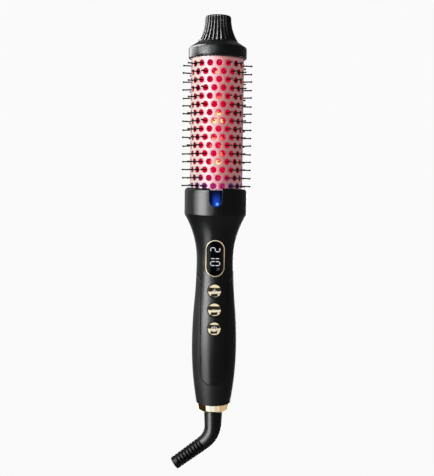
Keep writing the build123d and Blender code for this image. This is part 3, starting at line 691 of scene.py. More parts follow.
# The depth that rays start at, in front of the whole brush, and how far a laid-on piece reaches in
RAY_START = -0.1
SUNK = 0.05 * MM


def around(turn, radius, height):
    """A point at an angle round the axis, 0 at the front and growing to the right."""
    return Vector((radius * math.sin(turn), -radius * math.cos(turn), height))


def add_object(name, data):
    """An object in the scene that shows a mesh, a lamp or a camera."""
    made = bpy.data.objects.new(name, data)
    bpy.context.scene.collection.objects.link(made)
    return made


def new_piece(name, points, faces, material, body="handle", weld=0.0, smooth=True):
    """A mesh piece that rides on a body and takes the finish it is given."""
    mesh = bpy.data.meshes.new(name)
    mesh.from_pydata([tuple(p) for p in points], [], faces)
    shape = bmesh.new()
    shape.from_mesh(mesh)
    if weld:
        bmesh.ops.remove_doubles(shape, verts=shape.verts, dist=weld)
    bmesh.ops.recalc_face_normals(shape, faces=shape.faces)
    shape.to_mesh(mesh)
    shape.free()
    for face in mesh.polygons:
        face.use_smooth = smooth
    piece = add_object(name, mesh)
    mesh.materials.append(material)
    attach(piece, body)
    return piece


def rings_to_faces(start, ring_count, ring_size):
    """Faces that join rings of points, numbered ring after ring from start."""
    faces = []
    for low in range(start, start + (ring_count - 1) * ring_size, ring_size):
        high = low + ring_size
        for step in range(ring_size):
            after = (step + 1) % ring_size
            faces.append((low + step, low + after, high + after, high + step))
    return faces


def end_faces(start, ring_count, ring_size):
    """The two faces that close the first and the last ring."""
    last = start + (ring_count - 1) * ring_size
    return [tuple(reversed(range(start, start + ring_size))), tuple(range(last, last + ring_size))]


def add_part(points, faces, part):
    """Adds a part's own points and faces to those of a piece."""
    more, more_faces = part
    faces += [tuple(n + len(points) for n in face) for face in more_faces]
    points += more


def dress(node, material):
    """Gives a carried-over CAD node a better material."""
    for slot in frame["nodes"][node].material_slots:
        slot.material = material


def front_of(node):
    """A function that gives the depth (y) of a node's front face at a place (x, z) of the front view."""
    mesh = frame["nodes"][node].data
    tree = BVHTree.FromPolygons([v.co for v in mesh.vertices], [p.vertices[:] for p in mesh.polygons])

    def depth(x, z):
        hit = tree.ray_cast(Vector((x, RAY_START, z)), Vector((0, 1, 0)))[0]
        if hit is None:
            raise RuntimeError(f"{node} has no front face at x {x:.4f}, z {z:.4f}")
        return hit.y

    return depth


def relief_strip(path, widths, depth, proud):
    """Points and faces of a thin strip along a path (x, z) of the front view, laid on a surface."""
    points, steps = [], len(path)
    for i, (x, z) in enumerate(path):
        ahead = Vector(path[min(i + 1, steps - 1)]) - Vector(path[max(i - 1, 0)])
        side = Vector((-ahead.y, ahead.x)).normalized() * widths[i] / 2
        for sign, lift in ((1, -proud), (-1, -proud), (-1, SUNK), (1, SUNK)):
            px, pz = x + sign * side.x, z + sign * side.y
            points.append(Vector((px, depth(px, pz) + lift, pz)))
    return points, rings_to_faces(0, steps, 4) + end_faces(0, steps, 4)


def relief_piece(name, strips, depth, material, body, proud):
    """One piece made of several strips on a surface. A strip is its path and its width at each point."""
    points, faces = [], []
    for path, widths in strips:
        add_part(points, faces, relief_strip(path, widths, depth, proud))
    return new_piece(name, points, faces, material, body, smooth=False)


def straight(start, end, width, tip=1.0, steps=8):
    """A straight strip whose two ends narrow to a share of its width."""
    path = [tuple(a + (b - a) * k / steps for a, b in zip(start, end)) for k in range(steps + 1)]
    return path, [width * tip, *[width] * (steps - 1), width * tip]


def arc(centre, radius, first, last, width, steps=28):
    """A curved strip from one angle to another, in degrees, 0 at the right and growing upward."""
    turns = [math.radians(first + (last - first) * k / steps) for k in range(steps + 1)]
    path = [(centre[0] + radius * math.cos(t), centre[1] + radius * math.sin(t)) for t in turns]
    return path, [width] * (steps + 1)


# --- Barrel ---

# Steps along each side of a hole's cell and over the rounded edge of a hole, and how near two points of
# neighbouring cells are to be one
SIDE_STEPS = 8
EDGE_STEPS = 3
WELD = 0.01 * MM


def hole_turns(barrel, row):
    """The angles of one row's holes. Every other row is turned by half a step."""
    step = math.tau / barrel.holes_per_row
    first = barrel.first_hole - step / 2 * (row % 2)
    return [first + step * k for k in range(barrel.holes_per_row)]


def cell_outline(half_width, half_height):
    """Points round the rectangle that one hole sits in, the same number on each side."""
    corners = [(-1, -1), (1, -1), (1, 1), (-1, 1), (-1, -1)]
    outline = []
    for (x0, y0), (x1, y1) in zip(corners, corners[1:]):
        for k in range(SIDE_STEPS):
            part = k / SIDE_STEPS
            outline.append(((x0 + (x1 - x0) * part) * half_width, (y0 + (y1 - y0) * part) * half_height))
    return outline


def hole_cell(barrel, turn, height):
    """Points and faces of one hole: outer skin, rounded edge, wall of the hole and inner skin."""
    outline = cell_outline(math.pi * barrel.radius / barrel.holes_per_row, barrel.row_pitch / 2)
    rim, edge = barrel.hole_diameter / 2, barrel.hole_edge
    rings = [(None, 0.0)]
    for k in range(EDGE_STEPS + 1):
        bend = math.pi / 2 * k / EDGE_STEPS
        rings.append((rim + edge * (1 - math.sin(bend)), edge * (1 - math.cos(bend))))
    rings += [(rim, barrel.wall), (None, barrel.wall)]
    points = []
    for hole_radius, depth in rings:
        for across, up in outline:
            if hole_radius is not None:
                pull = hole_radius / math.hypot(across, up)
                across, up = across * pull, up * pull
            points.append(around(turn + across / barrel.radius, barrel.radius - depth, height + up))
    return points, rings_to_faces(0, len(rings), len(outline))


def plain_band(barrel, low, high, end):
    """The unpierced tube between two heights, in steps that meet the cells. End 0 or 1 is closed."""
    count = SIDE_STEPS * barrel.holes_per_row
    points, faces = [], []
    for radius in (barrel.radius, barrel.radius - barrel.wall):
        faces += rings_to_faces(len(points), 2, count)
        for height in (low, high):
            points += [around(barrel.first_hole + math.tau * k / count, radius, height) for k in range(count)]
    outer, inner = end * count, (2 + end) * count
    for k in range(count):
        after = (k + 1) % count
        faces.append((outer + k, outer + after, inner + after, inner + k))
    return points, faces


def build_barrel():
    """The perforated metal tube."""
    barrel = bpy.context.scene.brush_barrel
    points, faces = [], []
    for row in range(barrel.rows):
        for turn in hole_turns(barrel, row):
            add_part(points, faces, hole_cell(barrel, turn, barrel.top_row - row * barrel.row_pitch))
    top = barrel.top_row + barrel.row_pitch / 2
    foot = top - barrel.rows * barrel.row_pitch
    add_part(points, faces, plain_band(barrel, BARREL_LOW.z, foot, 0))
    add_part(points, faces, plain_band(barrel, top, BARREL_HIGH.z, 1))
    piece = new_piece("barrel_shell", points, faces, barrel_metal(), weld=WELD)
    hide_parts("barrel_tube")


# --- Bristles ---

PIN_SIDES = 10
BALL_STEPS = 8

# A pin's throat under its ball, as a share of its shaft
THROAT = 0.9

# The columns beside each side's middle column, by the cosine of their bearing. They hold no pin.
OPEN_COLUMNS = (0.23, 0.47)


def carries_pin(turn):
    """True for a hole that holds a pin."""
    low, high = OPEN_COLUMNS
    return not low < abs(math.cos(turn)) < high


def pin_profile(bristles, reach):
    """Radius and distance from the sleeve along a pin: flared root, slim shaft, ball tip."""
    root, shaft, ball = bristles.root_diameter / 2, bristles.shaft_diameter / 2, bristles.ball_diameter / 2
    profile = [(root, 0.0), (root * 0.85, 0.35 * MM), (shaft * 1.08, 1.1 * MM), (shaft, 2.2 * MM)]
    throat = shaft * THROAT
    neck = math.asin(throat / ball)
    centre = reach - ball
    profile.append((throat, centre - ball * math.cos(neck)))
    for k in range(1, BALL_STEPS):
        bend = neck + (math.pi - neck) * k / BALL_STEPS
        profile.append((ball * math.sin(bend), centre - ball * math.cos(bend)))
    return profile


def build_bristles():
    """All the pins in one piece, each leaning a little its own way."""
    barrel, bristles = bpy.context.scene.brush_barrel, bpy.context.scene.brush_bristles
    chance = random.Random(7)
    sleeve_radius = SLEEVE_HIGH.x
    upright = Vector((0, 0, 1))
    profile = pin_profile(bristles, PINS_HIGH.x - sleeve_radius)
    points, faces = [], []
    for row in range(barrel.rows):
        for turn in filter(carries_pin, hole_turns(barrel, row)):
            base = around(turn, sleeve_radius, barrel.top_row - row * barrel.row_pitch)
            out = around(turn, 1.0, 0.0)
            across = out.cross(upright)
            lean = Matrix.Rotation(chance.uniform(-bristles.lean, bristles.lean), 3, across)
            lean @= Matrix.Rotation(chance.uniform(-bristles.lean, bristles.lean), 3, upright)
            along, side = lean @ out, lean @ across
            up = along.cross(side)
            faces += rings_to_faces(len(points), len(profile), PIN_SIDES)
            faces += end_faces(len(points), len(profile), PIN_SIDES)
            for radius, distance in profile:
                for k in range(PIN_SIDES):
                    bend = math.tau * k / PIN_SIDES
                    offset = side * math.cos(bend) + up * math.sin(bend)
                    points.append(base + along * distance + offset * radius)
    piece = new_piece("bristle_set", points, faces, bristle_nylon())
    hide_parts("bristle_pins")


# --- Lamps in the barrel's foot ---

# How many, and for each its power in watts, its radius, its distance from the axis and its height above
# the sleeve's foot
FOOT_LAMPS = 4
FOOT_LAMP_POWER = 0.03
FOOT_LAMP_RADIUS = 1.5 * MM
FOOT_LAMP_REACH = 15.0 * MM
FOOT_LAMP_RISE = 3.0 * MM


def build_foot_lamps():
    """Small blue lamps inside the barrel's foot, round the core."""
    height = SLEEVE_LOW.z + FOOT_LAMP_RISE
    for k in range(FOOT_LAMPS):
        lamp = bpy.data.lights.new(f"foot_lamp_{k}", "POINT")
        lamp.color = bpy.context.scene.brush_glow.blue
        lamp.energy, lamp.shadow_soft_size = FOOT_LAMP_POWER, FOOT_LAMP_RADIUS
        place = around(math.tau * (k + 0.5) / FOOT_LAMPS, FOOT_LAMP_REACH, height)
        add_object(f"foot_lamp_{k}", lamp).location = place


# --- Nose ---

STEPS_PER_FLUTE = 8
FLANGE_STEPS = 6
FLARE_STEPS = 14

# Height at which the flange's side and its slope would meet without the rounding
FLANGE_CORNER = 214.7 * MM

# The hollow flare, as radius and height
FLARE_FOOT = (14.9 * MM, 218.4 * MM)
FLARE_MIDDLE = (10.9 * MM, 226.6 * MM)
FLARE_TOP = (9.35 * MM, 236.1 * MM)

# From the flare's foot out to the last point of the flange's slope, and how far that point is lifted
SLOPE_END = 1.1 * MM
SLOPE_LIFT = 0.1 * MM

# The rim over the flare: millimetres inward from the flare and down from the nose's top, and flute share
NOSE_RIM = ((0.25, 1.2, 1), (0.7, 0.75, 0.9), (1.5, 0.5, 0.6), (2.6, 0.3, 0.2))


def circle_through(a, b, c):
    """Centre and radius of the circle through three points."""
    ax, ay, bx, by, cx, cy = *a, *b, *c
    d = 2 * (ax * (by - cy) + bx * (cy - ay) + cx * (ay - by))
    sa, sb, sc = ax * ax + ay * ay, bx * bx + by * by, cx * cx + cy * cy
    x = (sa * (by - cy) + sb * (cy - ay) + sc * (ay - by)) / d
    y = (sa * (cx - bx) + sb * (ax - cx) + sc * (bx - ax)) / d
    return x, y, math.hypot(ax - x, ay - y)


def flange_profile(nose):
    """Radius, height and flute share over the barrel's end, round the flange and up to the flare."""
    flange, edge, chamfer = nose.flange_radius, nose.edge_round, 0.3 * MM
    slope = math.atan2(FLARE_FOOT[1] - FLANGE_CORNER, flange - FLARE_FOOT[0])
    bore, lid, foot = BARREL_HIGH.x + 0.05 * MM, BARREL_HIGH.z + 0.02 * MM, NOSE_LOW.z
    profile = [(0.2 * MM, lid, 0), (bore, lid, 0), (bore, foot + chamfer, 0), (bore + 0.25 * MM, foot, 0)]
    profile += [(flange - chamfer, foot, 0), (flange, foot + chamfer, 0), (flange, foot + 3.0 * MM, 0)]
    full = math.pi / 2 - slope
    start = FLANGE_CORNER - edge * math.tan(full / 2)
    for k in range(FLANGE_STEPS + 1):
        bend = full * k / FLANGE_STEPS
        profile.append((flange - edge * (1 - math.cos(bend)), start + edge * math.sin(bend), 0))
    height = FLARE_FOOT[1] - SLOPE_END * math.tan(slope) + SLOPE_LIFT
    return profile + [(FLARE_FOOT[0] + SLOPE_END, height, 0)]


def flare_profile():
    """Radius, height and flute share up the flare and over the nose's top to its middle."""
    x, y, radius = circle_through(FLARE_FOOT, FLARE_MIDDLE, FLARE_TOP)
    first = math.atan2(FLARE_FOOT[1] - y, FLARE_FOOT[0] - x) % math.tau
    last = math.atan2(FLARE_TOP[1] - y, FLARE_TOP[0] - x) % math.tau
    profile = []
    for k in range(FLARE_STEPS + 1):
        bend = first + (last - first) * (k / FLARE_STEPS) ** 1.2
        rise = min(1.0, k / 2 + 0.15)
        profile.append((x + radius * math.cos(bend), y + radius * math.sin(bend), rise))
    top = NOSE_HIGH.z
    profile += [(FLARE_TOP[0] - inward * MM, top - down * MM, flute) for inward, down, flute in NOSE_RIM]
    return profile + [(5.0 * MM, top - 0.1 * MM, 0), (2.0 * MM, top, 0), (0.2 * MM, top, 0)]


def flute_shape(phase):
    """How deep a groove is across one flute, from 0 on its crest to 1 in its valley."""
    wave = 0.5 - 0.5 * math.cos(phase)
    return wave * 0.55 + wave**1.6 * 0.45


def build_nose():
    """The nose with rounded flutes that run out on the flange's slope."""
    nose = bpy.context.scene.brush_nose
    count = nose.flutes * STEPS_PER_FLUTE
    profile = flange_profile(nose) + flare_profile()
    points = []
    for radius, height, share_of_depth in profile:
        depth = nose.flute_depth * share_of_depth * radius / FLARE_TOP[0]
        for k in range(count):
            phase = math.tau * (k % STEPS_PER_FLUTE) / STEPS_PER_FLUTE
            points.append(around(math.tau * k / count, radius - depth * flute_shape(phase), height))
    faces = rings_to_faces(0, len(profile), count) + end_faces(0, len(profile), count)
    piece = new_piece("fluted_nose", points, faces, nose_plastic())
    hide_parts("cool_tip")


# --- Display and buttons ---

# The segments of a digit, as start and end in shares of its width and height
SEGMENTS = {
    "a": ((0, 1), (1, 1)),
    "b": ((1, 1), (1, 0.5)),
    "c": ((1, 0.5), (1, 0)),
    "d": ((1, 0), (0, 0)),
    "e": ((0, 0), (0, 0.5)),
    "f": ((0, 0.5), (0, 1)),
    "g": ((0, 0.5), (1, 0.5)),
}
LIT = {
    "0": "abcdef", "1": "bc", "2": "abged", "3": "abgcd", "4": "fgbc",
    "5": "afgcd", "6": "afgedc", "7": "abc", "8": "abcdefg", "9": "abcdfg",
}
DIGIT_GAP = 0.38 * MM
FIRST_DIGIT_DROP = 4.6 * MM
DIGIT_SHIFT = 0.1 * MM
DEGREE_DROP = 0.6 * MM
DEGREE_LEVEL = 0.32

# A segment's width at its two ends, as a share of its stroke
SEGMENT_TIP = 0.8

# How far the digits, the marks and the rings stand proud of what they lie on
DIGIT_PROUD = 0.04 * MM
MARK_PROUD = 0.05 * MM
SHADE_RING_PROUD = 0.03 * MM

# The marks on the buttons: half a stroke's length, which is the power arc's radius too, and the heights
# over a button's middle that the power mark's stroke runs between
MARK_REACH = 1.75 * MM
POWER_STROKE = (0.3 * MM, 2.2 * MM)


def build_digits():
    """The lit digits, turned to read down the handle, and the small degree mark below them."""
    display = bpy.context.scene.brush_display
    depth = front_of("display_window")
    strips = []
    for number, digit in enumerate(display.reading):
        top = WINDOW_HIGH.z - FIRST_DIGIT_DROP - number * display.digit_pitch
        for name in LIT[digit]:
            start, end = (
                Vector((DIGIT_SHIFT + (up - 0.5) * display.digit_height, top - across * display.digit_width))
                for across, up in SEGMENTS[name]
            )
            inward = (end - start).normalized() * DIGIT_GAP
            strips.append(straight(start + inward, end - inward, display.stroke, SEGMENT_TIP))
    relief_piece("display_digits", strips, depth, digit_light(1.0), "handle", DIGIT_PROUD)
    below = WINDOW_HIGH.z - FIRST_DIGIT_DROP - len(display.reading) * display.digit_pitch - DEGREE_DROP
    degree = [
        arc((1.9 * MM, below), 0.62 * MM, -145, 145, 0.22 * MM, 14),
        arc((3.1 * MM, below + 0.55 * MM), 0.26 * MM, 0, 360, 0.16 * MM, 12),
    ]
    faint = digit_light(DEGREE_LEVEL)
    relief_piece("degree_mark", degree, depth, faint, "handle", DIGIT_PROUD)


def button_mark(name, z, width):
    """The generic plus, minus or power mark, as strips round a button's middle at height z."""
    if name == "power":
        low, high = POWER_STROKE
        return [arc((0, z), MARK_REACH, 125, 415, width), straight((0, z + low), (0, z + high), width)]
    if name == "minus":
        return [straight((-MARK_REACH, z), (MARK_REACH, z), width)]
    return [
        straight((0, z - MARK_REACH), (0, z + MARK_REACH), width),
        straight((-MARK_REACH, z), (-width / 2, z), width),
        straight((width / 2, z), (MARK_REACH, z), width),
    ]


def build_buttons():
    """Gold caps with their marks, which ride on the buttons, and black rings round them as painted shade of
    each gap.
    """
    trim = bpy.context.scene.brush_trim
    gold, etched = gold_plating("button gold"), etched_gold()
    # The black rings laid round the caps are painted shade of the gap round each button
    ring_radius = trim.button_radius + trim.shade_ring_gap + trim.shade_ring_width / 2
    rings = []
    for name in BUTTONS:
        low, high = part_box(f"{name}_button")
        middle = (low.z + high.z) / 2
        rings.append(arc((0, middle), ring_radius, 0, 360, trim.shade_ring_width, 48))
        dress(f"{name}_button", gold)
        dress(f"{name}_stem", hidden_finish("seat_plastic"))
        mark, depth = button_mark(name, middle, trim.mark_width), front_of(f"{name}_button")
        relief_piece(f"{name}_mark", mark, depth, etched, f"{name}_key", MARK_PROUD)
    front = front_of("front_housing")
    relief_piece("button_gaskets", rings, front, matt_black(), "handle", SHADE_RING_PROUD)


# --- Seam ---

# Where the seam between the front panel and the grip runs out to the sides: x and z of its two ends
SEAM_START = (10.3 * MM, 47.2 * MM)
SEAM_END = (12.7 * MM, 51.6 * MM)
SEAM_WIDTH = 0.34 * MM
SEAM_PROUD = 0.02 * MM


def build_seam_highlights():
    """A painted highlight along the grip's edge where its seam runs out to each side."""
    strips = []
    for side in (-1, 1):
        start, end = (side * SEAM_START[0], SEAM_START[1]), (side * SEAM_END[0], SEAM_END[1])
        strips.append(straight(start, end, SEAM_WIDTH, 0.3, 12))
    front = front_of("rear_grip")
    relief_piece("seam_edges", strips, front, painted_edge_highlight(), "handle", SEAM_PROUD)


# --- Stage ---


def grey(level):
    """A light without colour."""
    return (level, level, level)


# The studio's walls: bearing from the front, half width and soft edge in degrees, the elevations over
# which the light rises and falls, and its colour. A negative colour is a dark card.
STUDIO_WALLS = {
    "left wall": (-92, 58, 12, (-50, -30), (50, 80), (1.12, 1.16, 1.10)),
    "left window": (-54, 18, 10, (-10, 0), (50, 80), (0.26, 0.37, 0.55)),
    "ring card": (-98, 46, 5, (-54, -48), (-13, -10), grey(-1.3)),
    "right wall": (94, 60, 12, (-50, -30), (50, 80), grey(0.22)),
    "back wall": (180, 30, 12, (-60, -30), (50, 80), grey(0.22)),
    "low front": (-18, 48, 4, (-75, -65), (-46, -40), grey(0.60)),
    "low right": (80, 50, 8, (-75, -65), (-46, -40), (0.60, 0.56, 0.56)),
    "low back": (180, 45, 10, (-75, -65), (-46, -40), grey(0.50)),
    "ceiling": (0, 181, 1, (45, 75), (91, 92), grey(0.7)),
}
DOME_FILL = grey(0.03)

# The finishes that catch a strip light
NOSE = ("nose black",)
SMOOTH_BLACKS = ("nose black", "collar black")
BOOT = ("boot rubber",)
HANDLE_BLACKS = ("collar black", "panel black", "soft grip black")
SHADED_BLACKS = HANDLE_BLACKS + BOOT + ("bristle nylon",)
BLACKS = NOSE + SHADED_BLACKS
ROSE = ("rose champagne",)
BUTTON_GOLDS = ("button gold", "etched gold")
TRIM_GOLDS = ("ring gold", "bezel gold")

# Strip lights: name, the finishes that catch it, bearing, half width, lowest and highest elevation in
# degrees, and radiance
STRIP_LIGHTS = (
    ("key", SHADED_BLACKS, -50, 16, -11.5, 50, grey(68)),
    ("nose_key", NOSE, -50, 16, -11.5, 19, grey(68)),
    ("flute_key", NOSE, -96, 22, 22, 64, grey(66)),
    ("key_edge", BLACKS, -22, 12, -11.5, 40, grey(12)),
    ("key_foot", BLACKS, -45, 18, -42, -11.5, grey(26)),
    ("key_left", SMOOTH_BLACKS, -74, 9, -11.5, 50, grey(24)),
    ("boot_key", BOOT, -50, 16, -42, -8, grey(42)),
    ("low_back", BLACKS, 172, 16, -45, -24, grey(14)),
    ("back_edge", HANDLE_BLACKS, 163, 9, -11.5, 50, grey(7)),
    ("nose_side", NOSE, -120, 24, -20, 40, grey(12)),
    ("rose_left", ROSE, -30, 10, -30, 50, (1.05, 1.15, 1.25)),
    ("rose_front", ROSE, -5, 15, -16, 50, (1.20, 0.85, 0.95)),
    ("rose_side", ROSE, 23, 13, -12, 50, (0.65, 0.26, 0.24)),
    ("rose_right", ROSE, 64, 28, -30, 50, (0.13, 0.0, 0.0)),
    ("rose_far_right", ROSE, 120, 28, -30, 50, (0.13, 0.0, 0.0)),
    ("button_head", BUTTON_GOLDS, -6, 42, 5, 60, (0.95, 1.02, 1.10)),
    ("button_middle", BUTTON_GOLDS, -10, 46, -21, -12, (1.00, 1.08, 1.22)),
    ("button_left", BUTTON_GOLDS, -38, 22, -33, -21, (0.95, 1.02, 1.15)),
    ("button_right", BUTTON_GOLDS, 34, 20, -33, -21, (0.90, 0.96, 1.05)),
    ("button_foot", BUTTON_GOLDS, -6, 42, -60, -33, (0.85, 0.92, 1.00)),
    ("trim_head", TRIM_GOLDS, -6, 46, -8, 60, (0.42, 0.44, 0.46)),
    ("trim_front", TRIM_GOLDS, -23, 35, -50, -8, (0.97, 1.16, 1.52)),
    ("trim_middle", TRIM_GOLDS, 29, 17, -50, -8, (0.80, 0.80, 0.86)),
    ("trim_left", TRIM_GOLDS, -98, 34, -50, -8, (0.050, 0.030, 0.008)),
    ("trim_right", TRIM_GOLDS, 84, 38, -50, -8, (0.46, 0.36, 0.28)),
    ("trim_right_edge", TRIM_GOLDS, 148, 16, -50, -8, (1.6, 1.7, 1.8)),
    ("trim_left_edge", TRIM_GOLDS, -150, 14, -50, -8, (1.6, 1.7, 1.8)),
)

# How far the strip lights stand from the axis, and half the floor's width, in metres
STRIP_DISTANCE = 1.5
FLOOR_REACH = 40.0

# The camera's sensor in millimetres, and the nearest and farthest that it sees in metres
SENSOR_WIDTH = 36.0
NEAREST = 0.01
FARTHEST = 100.0


def build_strip_lights():
    """Strip lights round the brush, each seen in the gloss of some finishes only."""
    middle = (CAD_BOX[0].z + CAD_BOX[1].z) / 2
    for name, finishes, bearing, half_width, low, high, radiance in STRIP_LIGHTS:
        catching = bpy.data.collections.new(f"{name}_catching")
        for piece in bpy.data.objects:
            if piece.active_material and piece.active_material.name.split(".")[0] in finishes:
                catching.objects.link(piece)
        foot, head = (STRIP_DISTANCE * math.tan(math.radians(v)) for v in (low, high))
        lamp = bpy.data.lights.new(name, "AREA")
        lamp.shape = "RECTANGLE"
        lamp.size = 2 * STRIP_DISTANCE * math.tan(math.radians(half_width))
        lamp.size_y = head - foot
        lamp.color = [value / max(radiance) for value in radiance]
        lamp.energy = max(radiance) * math.pi * lamp.size * lamp.size_y
        holder = add_object(name, lamp)
        turn = math.radians(bearing)
        place = Matrix.Translation(around(turn, STRIP_DISTANCE, middle + (foot + head) / 2))
        holder.matrix_world = place @ Matrix.Rotation(turn, 4, "Z") @ Matrix.Rotation(math.pi / 2, 4, "X")
        holder.visible_diffuse = False
        holder.light_linking.receiver_collection = catching


def build_world(backdrop):
    """A dark studio dome with soft boxes, which the camera sees as the plain pale backdrop."""
    world = bpy.data.worlds.new("studio")
    bpy.context.scene.world = world
    shader = Shader(world, "ShaderNodeOutputWorld")
    direction = shader.node("ShaderNodeTexCoord").outputs["Generated"]
    across = shader.vector_maths("NORMALIZE", shader.vector_maths("MULTIPLY", direction, (1, 1, 0)))
    height = shader.split(direction)["Z"]
    total = DOME_FILL
    for bearing, half_width, edge, low, high, tint in STUDIO_WALLS.values():
        cosine = shader.vector_maths("DOT_PRODUCT", across, tuple(around(math.radians(bearing), 1.0, 0.0)))
        away = shader.maths("ARCCOSINE", shader.maths("MINIMUM", cosine, 1.0))
        wide = shader.ramp(away, math.radians(half_width - edge), math.radians(half_width + edge), 1.0, 0.0)
        rise = shader.ramp(height, *(math.sin(math.radians(v)) for v in low))
        fall = shader.ramp(height, *(math.sin(math.radians(v)) for v in high), 1.0, 0.0)
        amount = shader.product(rise, fall, wide)
        lit = shader.node("ShaderNodeVectorMath", {"operation": "SCALE"}, Vector=tint, Scale=amount)
        total = shader.vector_maths("ADD", lit.outputs["Vector"], total)
    total = shader.vector_maths("MAXIMUM", total, (0.0, 0.0, 0.0))
    studio = shader.node("ShaderNodeBackground", Color=total)
    plain = shader.node("ShaderNodeBackground", Color=rgba(backdrop))
    shader.mix(shader.node("ShaderNodeLightPath").outputs["Is Camera Ray"], studio, plain)


def build_floor(stage):
    """A wide pale floor. It lights nothing, so that the soft boxes alone shape the reflections."""
    shader = new_shader("pale floor")
    material = shader.principled(
        Base_Color=BLACK,
        Roughness=0.9,
        Specular_IOR_Level=0.0,
        Emission_Color=rgba(stage.backdrop),
        Emission_Strength=shader.patches(0.995, 1.0, 3.0),
    )
    height = CAD_BOX[0].z - stage.floor_drop
    corners = [(x * FLOOR_REACH, y * FLOOR_REACH, height) for x, y in ((-1, -1), (1, -1), (1, 1), (-1, 1))]
    mesh = bpy.data.meshes.new("floor")
    mesh.from_pydata(corners, [], [(0, 1, 2, 3)])
    mesh.materials.append(material)
    floor = add_object("floor", mesh)
    floor.visible_diffuse = floor.visible_glossy = floor.visible_transmission = False


def build_camera(stage):
    """The camera, a little above the handle, tilted slightly down."""
    camera = bpy.data.cameras.new("camera")
    camera.lens = stage.focal_length
    camera.sensor_width = SENSOR_WIDTH
    camera.clip_start, camera.clip_end = NEAREST, FARTHEST
    holder = add_object("camera", camera)
    place = Matrix.Translation((stage.eye_side, -stage.eye_distance, stage.eye_height))
    tilt = Matrix.Rotation(math.pi / 2 - stage.pitch, 4, "X")
    holder.matrix_world = place @ tilt @ Matrix.Rotation(stage.roll, 4, "Z")
    bpy.context.scene.camera = holder


# --- Operators ---


class HAIRBRUSH_OT_stage(Operator):
    """Make the camera, the pale floor and the studio light"""

    bl_idname = "hairbrush.stage"
    bl_label = "Stage"

    def execute(self, context):
        settings = context.scene.brush_stage
        context.scene.view_settings.view_transform = "Standard"
        build_world(settings.backdrop)
        build_floor(settings)
        build_strip_lights()
        build_camera(settings)
        return {"FINISHED"}


class HAIRBRUSH_OT_barrel(Operator):
    """Build the perforated rose champagne barrel"""

    bl_idname = "hairbrush.barrel"
    bl_label = "Barrel"

    def execute(self, context):
        build_barrel()
        return {"FINISHED"}


class HAIRBRUSH_OT_bristles(Operator):
    """Build the ball-tipped pins in the barrel's holes"""

    bl_idname = "hairbrush.bristles"
    bl_label = "Bristles"

    def execute(self, context):
        build_bristles()
        return {"FINISHED"}


class HAIRBRUSH_OT_glow(Operator):
    """Light the core, the sleeve and the ion port with painted glow"""

    bl_idname = "hairbrush.glow"
    bl_label = "Glow"

    def execute(self, context):
        dress("carrier_sleeve", clear_red_sleeve())
        dress("led_boards", core_glow("lit boards", (0.3, 0.02, 0.02), 1.0, 1.0))
        dress("red_leds", core_glow("lit chips", (0.4, 0.1, 0.03), 1.2, 1.0))
        core = core_glow("lit core", (0.4, 0.05, 0.05), 0.75, 0.8)
        dress("heat_core_front", core)
        dress("heat_core_rear", core)
        dress("ion_lens", port_blue())
        build_foot_lamps()
        return {"FINISHED"}


class HAIRBRUSH_OT_nose(Operator):
    """Build the fluted nose"""

    bl_idname = "hairbrush.nose"
    bl_label = "Nose"

    def execute(self, context):
        build_nose()
        return {"FINISHED"}


class HAIRBRUSH_OT_handle(Operator):
    """Finish the collar, neck, panel, grip and cord boot"""

    bl_idname = "hairbrush.handle"
    bl_label = "Handle"

    def execute(self, context):
        dress("ion_collar", collar_plastic())
        dress("front_housing", panel_plastic())
        dress("rear_grip", grip_plastic())
        dress("strain_relief", boot_rubber())
        dress("base_ring", gold_plating("ring gold"))
        build_seam_highlights()
        return {"FINISHED"}


class HAIRBRUSH_OT_display(Operator):
    """Finish the display and light its digits"""

    bl_idname = "hairbrush.display"
    bl_label = "Display"

    def execute(self, context):
        dress("display_window", display_glass())
        dress("display_bezel", bezel_gold())
        build_digits()
        return {"FINISHED"}


class HAIRBRUSH_OT_buttons(Operator):
    """Finish the buttons and add their marks"""

    bl_idname = "hairbrush.buttons"
    bl_label = "Buttons"

    def execute(self, context):
        build_buttons()
        return {"FINISHED"}


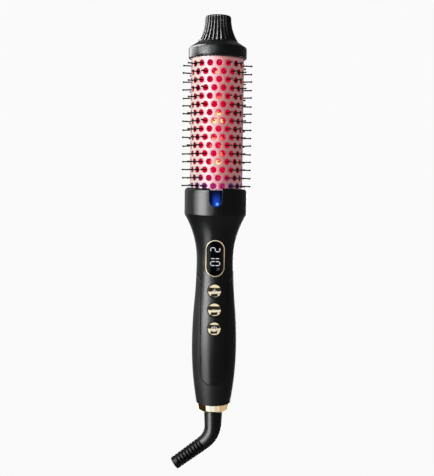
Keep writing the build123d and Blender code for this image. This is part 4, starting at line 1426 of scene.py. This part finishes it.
class HAIRBRUSH_OT_inside(Operator):
    """Finish the pieces that are sealed inside"""

    bl_idname = "hairbrush.inside"
    bl_label = "Inside"

    def execute(self, context):
        made = {}
        for name, node in frame["nodes"].items():
            slot = node.data.materials[0].name
            if slot in HIDDEN_FINISHES:
                made[slot] = made.get(slot) or hidden_finish(slot)
                dress(name, made[slot])
        return {"FINISHED"}


STEPS = (
    HAIRBRUSH_OT_inside,
    HAIRBRUSH_OT_barrel,
    HAIRBRUSH_OT_bristles,
    HAIRBRUSH_OT_glow,
    HAIRBRUSH_OT_nose,
    HAIRBRUSH_OT_handle,
    HAIRBRUSH_OT_display,
    HAIRBRUSH_OT_buttons,
    HAIRBRUSH_OT_stage,
)
SETTINGS = {
    "brush_barrel": BarrelSettings,
    "brush_bristles": BristleSettings,
    "brush_glow": GlowSettings,
    "brush_nose": NoseSettings,
    "brush_handle": HandleSettings,
    "brush_display": DisplaySettings,
    "brush_trim": TrimSettings,
    "brush_stage": StageSettings,
}


class HAIRBRUSH_PT_steps(Panel):
    """Lists the build steps in the sidebar."""

    bl_idname = "HAIRBRUSH_PT_steps"
    bl_label = "Hair Brush"
    bl_space_type = "VIEW_3D"
    bl_region_type = "UI"
    bl_category = "Hair Brush"

    def draw(self, context):
        for step in STEPS:
            self.layout.operator(step.bl_idname, text=step.bl_label)


def register():
    """Registers the settings, steps and panel."""
    for name, group in SETTINGS.items():
        bpy.utils.register_class(group)
        setattr(bpy.types.Scene, name, PointerProperty(type=group))
    for kind in (*STEPS, HAIRBRUSH_PT_steps):
        bpy.utils.register_class(kind)


def unregister():
    """Takes everything back out."""
    for kind in (HAIRBRUSH_PT_steps, *reversed(STEPS)):
        bpy.utils.unregister_class(kind)
    for name, group in reversed(SETTINGS.items()):
        delattr(bpy.types.Scene, name)
        bpy.utils.unregister_class(group)


def main():
    """Runs every build step in order."""
    register()
    for step in STEPS:
        family, name = step.bl_idname.split(".")
        getattr(getattr(bpy.ops, family), name)()
    bpy.context.view_layer.update()


if __name__ == "__main__":
    main()
